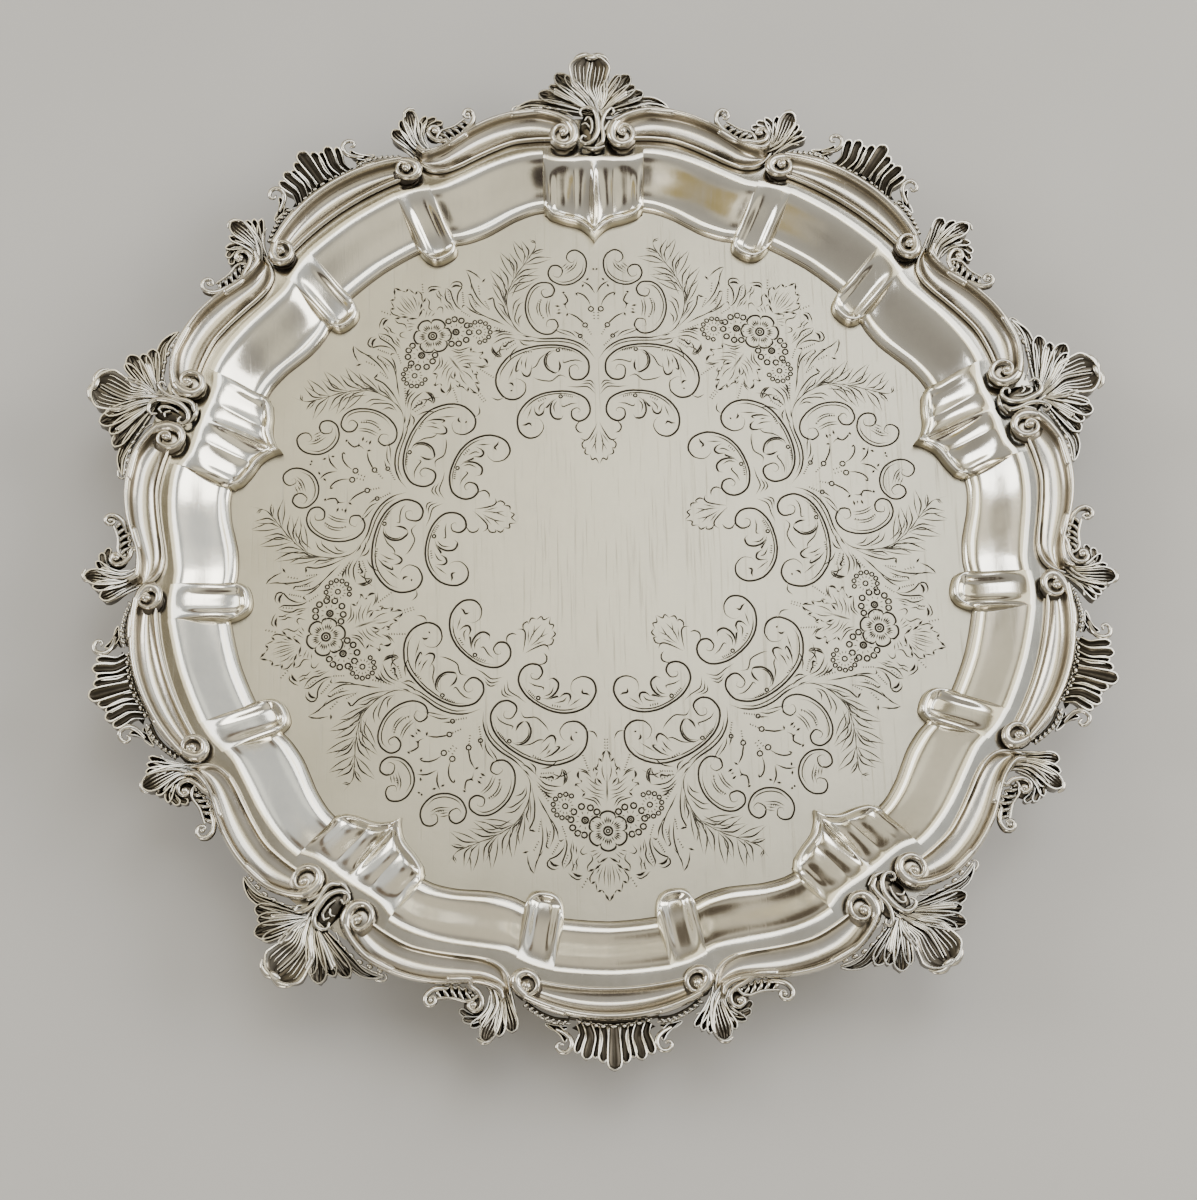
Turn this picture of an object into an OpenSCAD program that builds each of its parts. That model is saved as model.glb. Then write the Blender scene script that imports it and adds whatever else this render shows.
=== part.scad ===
// Presentation salver: a raised sheet-silver tray with a cast, applied shell-and-scroll border.
// The outline is five-fold. Shells stand at 90 + 72 k degrees, combs halfway between them.
// Plan shapes are drawn in pattern units, on a circle of 200 units through the large volutes,
// and multiplied by u. Heights are in millimetres. Z = 0 is the plane of the feet's soles.

/* [Size] */
// Overall width, from the tip of a shell to the tip of the opposite comb
overall_w = 380; // [260:5:500]
// Height of the plate's top face above the table
plate_h = 18; // [14:0.5:26]
// Thickness of the raised sheet
sheet_t = 1.4; // [1:0.1:2.2]

/* [Tray] */
// Height of the lip around the plate, above the plate
lip_h = 3; // [1.5:0.5:5]
// Height of the bouge's shoulder, above the plate
shoulder_h = 13.6; // [10:0.2:18]
// Drop from the shoulder to the flange that carries the border
flange_drop = 0.8; // [0.4:0.1:1.6]
// Power of the bouge's hollow: 1 is a straight slope
bouge_hollow = 1.6; // [1:0.1:2.4]

/* [Border] */
// Height of the mouldings' outer bead above the flange
bead_h = 6.4; // [4:0.2:9]
// Thickness of the cast leaves, shells and combs
cast_t = 2.6; // [1.6:0.2:4]
// Number of lobes in a comb
comb_lobes = 9; // [5:2:13]

/* [Feet] */
// Width of a scroll foot
foot_w = 11; // [7:0.5:16]
// Thickness of a foot's scroll band
foot_t = 3.2; // [2:0.2:5]

/* [Hidden] */
$fn = 40;
sectors = 5;
sector_a = 360 / sectors;
shell_tip = 240.5;
comb_tip = 234.5;
u = overall_w / (shell_tip + comb_tip);
flange_z = plate_h + shoulder_h - flange_drop;

// ---- Tray outlines: [angle from a shell's axis, radius in pattern units], over half a sector ----

// The lip round the plate: shield point, shield side, ogee edge, round-ended lug, edge at the comb
lip_line = [
    [0, 154], [1.1, 158], [2.8, 161.7], [5.6, 164.3], [7.2, 167.3], [7.9, 172.1],
    [10, 172.1], [13, 170.3], [15.5, 168.1], [18.2, 166.3], [21.2, 166.2], [23.3, 167.2],
    [24, 164], [25, 161.3], [25.9, 160.5], [26.9, 160.8], [27.9, 162.2], [28.8, 166.3],
    [29.4, 171.6], [36, 172]
];
shoulder_line = [
    [0, 188], [6.2, 188.5], [7.2, 192.4], [9, 192.8], [12, 192.2], [15.2, 190.7],
    [18.5, 188.8], [22, 187.5], [24, 189.5], [26, 191.5], [29, 192.6], [36, 193]
];
flange_line = [
    [0, 203], [8, 206], [12, 205], [16, 201], [19, 198.5], [22, 199], [25, 203], [30, 206], [36, 207]
];
// Angles at which the tray is sampled, over half a sector
half_angles = [
    0, 1.1, 2.8, 5.6, 7.2, 7.9, 10, 12, 14, 16, 18.2, 20, 21.8, 23.3, 24, 25, 25.9, 26.9, 27.9,
    28.8, 29.4, 31.6, 33.8
];
half_count = len(half_angles);
back_angles = [for (i = [half_count - 1:-1:1]) sector_a - half_angles[i]];
sector_angles = concat(half_angles, [sector_a / 2], back_angles);
ring_angles = [for (k = [0:sectors - 1], a = sector_angles) a + sector_a * k];

function fold(a) =
    let (m = a - sector_a * floor(a / sector_a))
    m > sector_a / 2 ? sector_a - m : m;
function polar(a, r) = [r * u * sin(a), r * u * cos(a)];

// One radial section of the tray's top face, as [radius in units, height], from inside outwards
step_run = 2.2;
bouge_steps = [0.3, 0.55, 0.8];
function tray_section(a) =
    let (
        f = fold(a),
        lip = lookup(f, lip_line),
        shoulder = lookup(f, shoulder_line),
        flange = lookup(f, flange_line),
        rise = shoulder_h - lip_h
    )
    concat(
        [[lip - step_run, 0], [lip, lip_h]],
        [for (t = bouge_steps) [lip + t * (shoulder - lip), lip_h + rise * pow(t, bouge_hollow)]],
        [[shoulder, shoulder_h], [shoulder + 3.5, shoulder_h - flange_drop]],
        [[flange, shoulder_h - flange_drop]]
    );

module tray_ring() {
    sections = [for (a = ring_angles) tray_section(a)];
    n = len(ring_angles);
    rows = len(sections[0]);
    loop = 2 * rows;
    points = [
        for (i = [0:n - 1], j = [0:loop - 1])
            let (
                s = sections[i][j < rows ? j : loop - 1 - j],
                p = polar(ring_angles[i], s[0]),
                z = plate_h + s[1] - (j < rows ? 0 : sheet_t)
            )
            [p[0], p[1], z]
    ];
    faces = [
        for (i = [0:n - 1], j = [0:loop - 1])
            let (i2 = (i + 1) % n, j2 = (j + 1) % loop)
            each [
                [i * loop + j, i * loop + j2, i2 * loop + j2],
                [i * loop + j, i2 * loop + j2, i2 * loop + j]
            ]
    ];
    polyhedron(points, faces, convexity = 6);
}

module tray_body() {
    plate_edge = [for (a = ring_angles) polar(a, lookup(fold(a), lip_line) - step_run)];
    color("silver") union() {
        tray_ring();
        translate([0, 0, plate_h - sheet_t]) linear_extrude(sheet_t) polygon(plate_edge);
    }
}

// ---- Curves and sweeps ----

// Catmull-Rom curve through a list's inner points; the first and last only set the tangents
function spline_point(p, i, t) =
    0.5 * (2 * p[i] + (p[i + 1] - p[i - 1]) * t
        + (2 * p[i - 1] - 5 * p[i] + 4 * p[i + 1] - p[i + 2]) * t * t
        + (3 * p[i] - p[i - 1] - 3 * p[i + 1] + p[i + 2]) * t * t * t);
function spline(p, n) = concat(
    [for (i = [1:len(p) - 3], j = [0:n - 1]) spline_point(p, i, j / n)],
    [p[len(p) - 2]]
);

// Steps of a moulding: [from, to] across from inner to outer edge, and height as a share of bead_h
moulding_steps = [[0, 1, 0.36], [0.03, 0.19, 0.5], [0.6, 0.985, 0.58], [0.78, 0.965, 1]];
function between(inner, outer, t) = [for (i = [0:len(inner) - 1]) inner[i] + t * (outer[i] - inner[i])];
function reversed(list) = [for (i = [len(list) - 1:-1:0]) list[i]];

// A moulding between an inner and an outer edge of equal length, in pattern units
module moulding(inner, outer) {
    for (s = moulding_steps)
        translate([0, 0, flange_z]) linear_extrude(s[2] * bead_h)
            polygon(u * concat(between(inner, outer, s[0]), reversed(between(inner, outer, s[1]))));
}

// A scroll's volute: a bed, a raised rim and a button
module volute(centre, r) {
    translate([u * centre[0], u * centre[1], flange_z]) {
        cylinder(h = bead_h * 0.5, r = r * u);
        difference() {
            cylinder(h = bead_h * 0.78, r = r * u * 0.93);
            cylinder(h = bead_h, r = r * u * 0.58);
        }
        cylinder(h = bead_h * 0.86, r = r * u * 0.34);
    }
}

// ---- Leaf and shell pieces ----

// A lobe from one point to another, widest near its round tip, in pattern units
lobe_steps = 10;
function lobe_outline(from, to, half_w) =
    let (d = to - from, side = [-d[1], d[0]] / norm(d))
    concat(
        [for (i = [0:lobe_steps]) let (t = i / lobe_steps)
            from + t * d + side * half_w * lobe_width(t)],
        [for (i = [lobe_steps - 1:-1:1]) let (t = i / lobe_steps)
            from + t * d - side * half_w * lobe_width(t)]
    );
function lobe_width(t) = t >= 1 ? 0 : (0.35 + 0.65 * t) * sqrt(1 - pow(t, 8));

module lobe(from, to, half_w, h = cast_t) {
    outline = u * lobe_outline(from, to, half_w);
    translate([0, 0, flange_z]) linear_extrude(h) polygon(outline);
}

// A lobe with a raised rib down its middle
module ribbed_lobe(from, to, half_w) {
    lobe(from, to, half_w);
    lobe(from, from + 0.92 * (to - from), half_w * 0.35, cast_t * 1.7);
}

module at_sector(k) rotate([0, 0, sector_a * k]) children();
module at_comb(k) rotate([0, 0, sector_a * (k - 0.5)]) children();

// ---- Shell: a palmette with a rolled central lobe, over the gap between two large volutes ----

shell_root = [0, 204];
shell_side_lobes = [[[3, 205], [17.5, 233], 6.4], [[6, 206], [26.5, 224.5], 5.4], [[9, 208], [38, 215.5], 4.2]];
shell_roll_r = 2.3;
shell_roll_w = 12;
shell_neck = [[0, 190.8], [0, 211], 3.6];

module shell_piece() {
    color("gainsboro") {
        ribbed_lobe(shell_root, [0, shell_tip - 1], 10.5);
        for (side = [-1, 1], s = shell_side_lobes)
            ribbed_lobe([side * s[0][0], s[0][1]], [side * s[1][0], s[1][1]], s[2]);
        for (side = [-1, 1])
            lobe([side * 1.5, 206], [side * 6.2, 234], 1.6, cast_t * 1.7);
        translate([-shell_roll_w / 2 * u, shell_tip * u - shell_roll_r, flange_z + cast_t])
            rotate([0, 90, 0]) cylinder(h = shell_roll_w * u, r = shell_roll_r);
        lobe(shell_neck[1], shell_neck[0], shell_neck[2], bead_h * 0.6);
    }
}

// ---- S-scroll moulding: large volute by the shell, small volute by the leaf ----

scroll_inner = [
    [14, 196.5], [20, 197.3], [28, 197.2], [38, 195.8], [47, 192.3], [56, 187.8], [63.5, 183.8],
    [70, 181.2], [77, 181.4], [82, 184.5], [85, 190]
];
scroll_outer = [
    [8, 205], [16, 209.8], [25, 212.3], [35, 211.5], [45, 209], [55, 204.6], [63, 199],
    [69, 195], [75, 193.3], [80, 194.8], [83, 199]
];
large_volute = [14, 199.6];
large_volute_r = 8.4;

module scroll_right() {
    color("silver") {
        moulding(spline(scroll_inner, 2), spline(scroll_outer, 2));
        volute(large_volute, large_volute_r);
    }
}
module scroll_left() mirror([1, 0, 0]) scroll_right();

// ---- Bow moulding: an arch between two small volutes, centred on the comb's axis ----

bow_outer_r = 80.5;
bow_inner_r = 132;
bow_outer_y = 214.3;
bow_inner_y = 200;
bow_outer_half = 35;
bow_inner_half = 29;
bow_steps = 14;
small_volute = [35.4, 198.4];
small_volute_r = 6.9;
function arc_point(x, top_y, r) = [x, top_y - r + sqrt(r * r - x * x)];

module bow() {
    places = [for (i = [0:bow_steps]) 2 * i / bow_steps - 1];
    color("silver") {
        moulding(
            [for (s = places) arc_point(s * bow_inner_half, bow_inner_y, bow_inner_r)],
            [for (s = places) arc_point(s * bow_outer_half, bow_outer_y, bow_outer_r)]
        );
        for (side = [-1, 1]) volute([side * small_volute[0], small_volute[1]], small_volute_r);
    }
}

// ---- Leaf: a fluted leaf, its C-scroll and the free curl, drawn right of the comb's axis ----

leaf_root = [42.5, 199.5];
leaf_tips = [[49.5, 223.8, 4.4], [43, 220.3, 3.4], [37, 216.5, 2.8], [55.5, 217.5, 4], [60.5, 211.5, 3.2]];
leaf_volute = [54.8, 206.6];
leaf_volute_r = 4.6;
curl_centre = [74.2, 204.6];
curl_r = 3.2;
curl_tube = 1.1;
rope_path = [[46, 206], [50, 203.4], [56, 200.8], [62, 199.4], [68, 199.6], [73, 201.2], [77, 204]];
rope_half_w = 1.5;

function band_outline(path, half_w) =
    let (n = len(path))
    let (normal = [
        for (i = [0:n - 1])
            let (d = path[min(i + 1, n - 1)] - path[max(i - 1, 0)])
            [-d[1], d[0]] / norm(d)
    ])
    concat(
        [for (i = [0:n - 1]) path[i] + half_w * normal[i]],
        [for (i = [n - 1:-1:0]) path[i] - half_w * normal[i]]
    );

module leaf_right() {
    color("gainsboro") {
        for (t = leaf_tips) ribbed_lobe(leaf_root, [t[0], t[1]], t[2]);
        volute(leaf_volute, leaf_volute_r);
        translate([0, 0, flange_z]) linear_extrude(cast_t)
            polygon(u * band_outline(spline(rope_path, 4), rope_half_w));
        translate([u * curl_centre[0], u * curl_centre[1], flange_z + cast_t * 0.6])
            rotate([0, 0, -120]) rotate_extrude(angle = 270)
                translate([u * curl_r, 0]) circle(r = u * curl_tube);
    }
}
module leaf_left() mirror([1, 0, 0]) leaf_right();

// ---- Comb: a fan of narrow gadroon lobes outside the bow's centre, with a volute at each end ----

comb_half = 15.2;
comb_base_y = 214.6;
comb_side_tip = 227;
comb_volute = [20.6, 221.8];
comb_volute_r = 4.1;
comb_trail = [[12, 217.4], [17, 217], [22, 216.5], [28, 213.8], [33, 210.8], [38, 206.8]];
comb_base_w = 3;

module comb_piece() {
    last = (comb_lobes - 1) / 2;
    base = [for (x = [-18:3:18]) arc_point(x, comb_base_y + comb_base_w / 2, bow_outer_r)];
    color("gainsboro") {
        translate([0, 0, flange_z]) linear_extrude(cast_t) polygon(u * band_outline(base, comb_base_w / 2));
        for (i = [-last:last]) {
            x = comb_half * i / last;
            tip = i == 0 ? comb_tip : comb_side_tip + 4 * cos(90 * i / last);
            ribbed_lobe([x * 0.9, arc_point(x, comb_base_y, bow_outer_r)[1] - 0.6], [x, tip], 1.9);
        }
        for (side = [-1, 1]) {
            volute([side * comb_volute[0], comb_volute[1]], comb_volute_r);
            path = [for (p = comb_trail) [side * p[0], p[1]]];
            translate([0, 0, flange_z]) linear_extrude(cast_t)
                polygon(u * band_outline(spline(path, 4), 1.6));
        }
    }
}

// ---- Foot: a cast S-scroll under the plate's edge at a comb's axis, with a flat sole ----

foot_r = 119;
foot_design_h = 16.6;
foot_curve = [[-8, 20], [-2, 16.2], [5, 14.6], [12, 12.6], [16, 8.6], [16.5, 4.4], [19, 0.9], [24, -1]];
foot_top = [-3, 12];
foot_sole = [16, 25];
foot_sole_t = 1.2;
toe_r = 3;

// Extrudes a side view, drawn as [radius, height], across the foot's width
module across_foot() {
    translate([-foot_w / 2, 0, 0]) rotate([90, 0, 90]) linear_extrude(foot_w) children();
}

module foot_piece() {
    under = plate_h - sheet_t;
    fit_height = under / foot_design_h;
    sole_l = foot_sole[1] - foot_sole[0] - toe_r;
    path = [for (p = spline(foot_curve, 5)) [foot_r + p[0], p[1] * fit_height]];
    color("silver") intersection() {
        union() {
            across_foot() polygon(band_outline(path, foot_t / 2));
            across_foot() translate([foot_r + foot_top[0], under - foot_t]) square([foot_top[1], foot_t]);
            across_foot() translate([foot_r + foot_sole[1] - toe_r, toe_r]) circle(r = toe_r);
            across_foot() translate([foot_r + foot_sole[0], 0]) square([sole_l, foot_sole_t]);
        }
        translate([-foot_w, foot_r - foot_w, 0]) cube([2 * foot_w, 5 * foot_w, under]);
    }
}

tray_body();
at_sector(0) shell_piece();  // shell_1
at_sector(1) shell_piece();  // shell_2
at_sector(2) shell_piece();  // shell_3
at_sector(3) shell_piece();  // shell_4
at_sector(4) shell_piece();  // shell_5
at_sector(0) scroll_left();  // scroll_left_1
at_sector(1) scroll_left();  // scroll_left_2
at_sector(2) scroll_left();  // scroll_left_3
at_sector(3) scroll_left();  // scroll_left_4
at_sector(4) scroll_left();  // scroll_left_5
at_sector(0) scroll_right();  // scroll_right_1
at_sector(1) scroll_right();  // scroll_right_2
at_sector(2) scroll_right();  // scroll_right_3
at_sector(3) scroll_right();  // scroll_right_4
at_sector(4) scroll_right();  // scroll_right_5
at_comb(0) bow();  // bow_1
at_comb(1) bow();  // bow_2
at_comb(2) bow();  // bow_3
at_comb(3) bow();  // bow_4
at_comb(4) bow();  // bow_5
at_comb(0) leaf_left();  // leaf_left_1
at_comb(1) leaf_left();  // leaf_left_2
at_comb(2) leaf_left();  // leaf_left_3
at_comb(3) leaf_left();  // leaf_left_4
at_comb(4) leaf_left();  // leaf_left_5
at_comb(0) leaf_right();  // leaf_right_1
at_comb(1) leaf_right();  // leaf_right_2
at_comb(2) leaf_right();  // leaf_right_3
at_comb(3) leaf_right();  // leaf_right_4
at_comb(4) leaf_right();  // leaf_right_5
at_comb(0) comb_piece();  // comb_1
at_comb(1) comb_piece();  // comb_2
at_comb(2) comb_piece();  // comb_3
at_comb(3) comb_piece();  // comb_4
at_comb(4) comb_piece();  // comb_5
at_comb(0) foot_piece();  // foot_1
at_comb(1) foot_piece();  // foot_2
at_comb(2) foot_piece();  // foot_3
at_comb(3) foot_piece();  // foot_4
at_comb(4) foot_piece();  // foot_5
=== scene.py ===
import math

import bmesh
import bpy
import numpy as np
from mathutils import Matrix, Vector, kdtree
from mathutils.geometry import delaunay_2d_cdt


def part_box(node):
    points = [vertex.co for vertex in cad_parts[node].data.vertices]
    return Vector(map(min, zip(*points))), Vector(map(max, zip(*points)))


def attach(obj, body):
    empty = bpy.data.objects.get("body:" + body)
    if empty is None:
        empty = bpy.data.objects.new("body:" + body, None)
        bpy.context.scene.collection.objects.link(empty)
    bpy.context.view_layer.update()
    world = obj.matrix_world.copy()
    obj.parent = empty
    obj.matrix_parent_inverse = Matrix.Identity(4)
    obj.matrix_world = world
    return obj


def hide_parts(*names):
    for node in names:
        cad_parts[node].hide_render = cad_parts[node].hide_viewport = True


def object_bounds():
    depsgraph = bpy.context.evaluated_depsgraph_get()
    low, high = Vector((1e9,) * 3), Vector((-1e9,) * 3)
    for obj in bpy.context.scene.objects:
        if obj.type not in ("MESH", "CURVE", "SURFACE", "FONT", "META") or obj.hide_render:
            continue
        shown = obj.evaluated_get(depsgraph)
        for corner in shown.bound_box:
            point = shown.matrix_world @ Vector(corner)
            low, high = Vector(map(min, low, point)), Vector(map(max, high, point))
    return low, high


# A footed silver salver: raised sheet tray, engraved plate, cast shell-and-scroll border.
# Plan shapes are in pattern units, on a circle of 200 units through the large volutes, with
# heights counted from the plate's top face. U turns a pattern unit into metres.

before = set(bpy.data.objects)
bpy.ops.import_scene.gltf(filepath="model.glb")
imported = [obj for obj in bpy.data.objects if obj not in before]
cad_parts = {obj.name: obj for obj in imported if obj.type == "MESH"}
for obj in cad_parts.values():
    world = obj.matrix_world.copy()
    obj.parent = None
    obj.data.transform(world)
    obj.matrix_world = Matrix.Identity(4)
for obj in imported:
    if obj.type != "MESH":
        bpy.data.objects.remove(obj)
cad_box = [list(corner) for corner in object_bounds()]

SECTORS = 5
SECTOR = 360 / SECTORS
PATTERN_LENGTH = 475.0
SHEET_METRES = 0.0014
U = (cad_box[1][1] - cad_box[0][1]) / PATTERN_LENGTH
PLATE_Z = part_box("foot_1")[1].z + SHEET_METRES
SHEET = SHEET_METRES / U
FLANGE = (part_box("shell_1")[0].z - PLATE_Z) / U
SHOULDER = FLANGE + 1.0
LIP = 2.7
BEAD_TOP = (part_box("bow_1")[1].z - PLATE_Z) / U


# ---------------------------------------------------------------- curves and solids

def resample(p, n):
    length = np.r_[0, np.cumsum(np.linalg.norm(np.diff(p, axis=0), axis=1))]
    at = np.linspace(0, length[-1], n)
    return np.stack([np.interp(at, length, p[:, i]) for i in range(p.shape[1])], 1)


def curve(points, n):
    """n points, equally spaced, on a Catmull-Rom curve through the points."""
    p = np.array(points, float)
    p = np.vstack([2 * p[0] - p[1], p, 2 * p[-1] - p[-2]])
    t = np.linspace(0, 1, 16, endpoint=False)[:, None]
    out = [0.5 * (2 * b + (c - a) * t + (2 * a - 5 * b + 4 * c - d) * t**2
                  + (3 * b - a - 3 * c + d) * t**3) for a, b, c, d in zip(p, p[1:], p[2:], p[3:])]
    return resample(np.vstack(out + [p[-2:-1]]), n)


def spread(values, n):
    """A list of values stretched evenly over n places."""
    values = np.atleast_1d(np.array(values, float))
    return np.interp(np.linspace(0, max(len(values) - 1, 1), n), np.arange(len(values)), values)


def unit(v):
    return v / np.maximum(np.linalg.norm(v, axis=-1, keepdims=True), 1e-9)


def left_of(p):
    d = unit(np.gradient(p[:, :2], axis=0))
    return np.stack([-d[:, 1], d[:, 0]], 1)


def turn(p, degrees):
    """Points turned clockwise about the salver's axis."""
    a = math.radians(degrees)
    p = np.array(p, float)
    q = p.copy()
    q[..., 0] = p[..., 0] * math.cos(a) + p[..., 1] * math.sin(a)
    q[..., 1] = -p[..., 0] * math.sin(a) + p[..., 1] * math.cos(a)
    return q


def mirror(p):
    p = np.array(p, float)
    p[..., 0] *= -1
    return p


def curl(path, centre, turns=1.5, end=0.4, n=26):
    """The path run on round a centre in a shrinking spiral."""
    p, c = np.array(path, float), np.array(centre, float)
    v, d = p[-1] - c, p[-1] - p[-2]
    way = math.copysign(1, v[0] * d[1] - v[1] * d[0])
    r0 = np.linalg.norm(v)
    t = np.linspace(0, 1, n)[1:]
    a = math.atan2(v[1], v[0]) + way * 2 * math.pi * turns * t
    r = r0 * (end / r0) ** t
    return np.vstack([p, c + np.stack([np.cos(a), np.sin(a)], 1) * r[:, None]])


class Shape:
    """Grids of quads gathered into one mesh, with a value of painted shade and tarnish, 0 in recesses and under
    parts to 1 on crests.
    """

    def __init__(self):
        self.verts, self.faces, self.relief, self.count = [], [], [], 0

    def grid(self, pts, relief, wrap=False):
        n, m = pts.shape[:2]
        self.verts.append(pts.reshape(-1, 3))
        self.relief.append(np.broadcast_to(relief, (n, m)).reshape(-1))
        i, j = np.meshgrid(np.arange(n - 1), np.arange(m if wrap else m - 1), indexing="ij")
        a, b = self.count + i * m + j, self.count + i * m + (j + 1) % m
        self.faces.append(np.stack([a, b, b + m, a + m], -1).reshape(-1, 4))
        self.count += n * m

    def rings(self, rings, relief):
        """A solid from a row of closed rings, each end drawn to its middle."""
        ends = [np.broadcast_to(rings[e].mean(0), rings[:1].shape) for e in (0, -1)]
        relief = np.broadcast_to(relief, rings.shape[:2])
        relief = np.concatenate([relief[:1], relief, relief[-1:]])
        self.grid(np.concatenate([ends[0], rings, ends[1]]), relief, wrap=True)

    def tube(self, path, radius, z=None, sides=8, relief=1.0, tall=1.0):
        """A round-ended rod along x, y points with heights z, or along x, y, z points."""
        p = np.asarray(path, float)
        if z is not None:
            p = np.column_stack([p[:, :2], spread(z, len(p))])
        r = spread(radius, len(p))
        t = unit(np.gradient(p, axis=0))
        head = [p[0] - t[0] * r[0] * a for a in (0.87, 0.5)]
        tail = [p[-1] + t[-1] * r[-1] * a for a in (0.5, 0.87)]
        p = np.vstack(head + [p] + tail)
        r = np.r_[r[0] * 0.5, r[0] * 0.87, r, r[-1] * 0.87, r[-1] * 0.5]
        t = np.vstack([t[:1], t[:1], t, t[-1:], t[-1:]])
        side = unit(np.cross(t, [0, 0, 1.0]))
        lift = np.cross(side, t)
        a = np.linspace(0, 2 * math.pi, sides, endpoint=False)[None, :, None]
        rings = (p[:, None] + side[:, None] * np.cos(a) * r[:, None, None]
                 + lift[:, None] * np.sin(a) * tall * r[:, None, None])
        # painted shade: each rod keeps its full value along its top, about half on its sides and almost none
        # underneath
        self.rings(rings, relief * np.clip(0.5 + 0.6 * np.sin(a[0, :, 0]), 0.05, 1)[None, :])

    def rod(self, points, n, radius, rise, **more):
        """A tube along a curve through a few points, at heights above the flange."""
        self.tube(curve(points, n), radius, np.array(rise) + FLANGE, **more)

    def ball(self, centre, radii, relief=1.0, n=9, angle=0.0):
        a = np.linspace(0, 2 * math.pi, n + 3, endpoint=False)
        h = np.linspace(-math.pi / 2, math.pi / 2, n)[1:-1]
        p = np.stack([np.cos(a), np.sin(a), np.zeros_like(a)], 1)[None] * np.cos(h)[:, None, None]
        p[:, :, 2] += np.sin(h)[:, None]
        p = turn(p * np.array(radii, float), -angle)
        # painted shade: full value on top of each ball, half at its middle, none underneath
        self.rings(np.array(centre, float) + p, relief * (0.5 + 0.5 * np.sin(h))[:, None])

    def petal(self, path, half, z, rim=0.42, dish=0.9, ribs=(), flutes=0, n=14, blunt=0.26, shade=0.12):
        """A fluted lobe on the flange: hollow face, bead round the edge, fine ribs along it."""
        c = curve(path, n)
        end = np.clip((np.linspace(0, 1, n) - 1 + blunt) / blunt, 0, 1)
        w = spread(half, n) * np.sqrt(np.clip(1 - end**2.4, 0.0004, 1))
        zc = spread(z, n) + FLANGE
        nrm = left_of(c)
        v = np.linspace(-1, 1, 15)
        xy = c[:, None] + nrm[:, None] * (w[:, None] * v)[..., None]
        wave = 0.5 - 0.5 * np.cos(math.pi * (v + 1) * flutes)
        top = zc[:, None] + (dish * (v[None] ** 2 - 0.6) + 0.34 * wave[None]) * np.minimum(1, w / 1.4)[:, None]
        upper = np.concatenate([xy, top[..., None]], -1)
        lower = np.concatenate([xy[:, ::-1], np.full((n, len(v), 1), FLANGE - 0.4)], -1)
        # painted shade and tarnish: each hollow face is darkest down its middle, lighter to its edges and flute
        # crests, and its underside sits at 0.34
        face = np.clip(shade + 0.4 * v**4 + 0.32 * wave * (flutes > 0), 0, 1)
        self.rings(np.concatenate([upper, lower], 1), np.concatenate([face, 0 * v + 0.34])[None])
        rim_z = zc + dish * 0.35
        edge = np.vstack([np.column_stack([c + nrm * w[:, None], rim_z]),
                          np.column_stack([c - nrm * w[:, None], rim_z])[::-1]])
        edge = resample(edge, 2 * n + 6)
        swell = 0.55 + 0.45 * np.sin(math.pi * np.linspace(0, 1, len(edge))) ** 1.2
        self.tube(edge, rim * swell, sides=6)
        for r in ribs:
            line = np.column_stack([c + nrm * (w * r)[:, None], zc + dish * (r * r - 0.6) + 0.2])
            self.tube(line[1:int(n * 0.86)], [rim * 0.45, rim * 0.66, rim * 0.3], sides=6, relief=0.85)

    def beads(self, points, size, z):
        """Drop-shaped beads set along a line."""
        p = np.array(points, float)
        d = np.gradient(p, axis=0)
        for q, t, s in zip(p, d, spread(size, len(p))):
            self.ball((*q, z), (s * 1.5, s * 0.85, s * 1.1), angle=math.degrees(math.atan2(t[1], t[0])), n=7)


# ---------------------------------------------------------------- nodes of the materials

def material(name):
    m = bpy.data.materials.new(name)
    m.use_nodes = True
    nodes, links = m.node_tree.nodes, m.node_tree.links
    shader = nodes["Principled BSDF"]

    def add(kind, settings=None, **inputs):
        node = nodes.new(kind)
        for key, value in (settings or {}).items():
            setattr(node, key, value)
        for key, value in inputs.items():
            key = int(key[1:]) if key[0] == "_" else key.replace("_", " ")
            if hasattr(value, "is_output"):
                links.new(value, node.inputs[key])
            else:
                node.inputs[key].default_value = value
        return node

    def plug(socket, key):
        links.new(socket, shader.inputs[key])

    return m, shader, add, plug


def ramp(add, fac, stops):
    node = add("ShaderNodeValToRGB", Fac=fac)
    e = node.color_ramp.elements
    e[0].position, e[0].color = stops[0][0], (*stops[0][1], 1)
    e[1].position, e[1].color = stops[-1][0], (*stops[-1][1], 1)
    for pos, col in stops[1:-1]:
        e.new(pos).color = (*col, 1)
    return node.outputs["Color"]


def grey(add, fac, stops):
    return ramp(add, fac, [(p, (c, c, c)) for p, c in stops])


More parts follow.
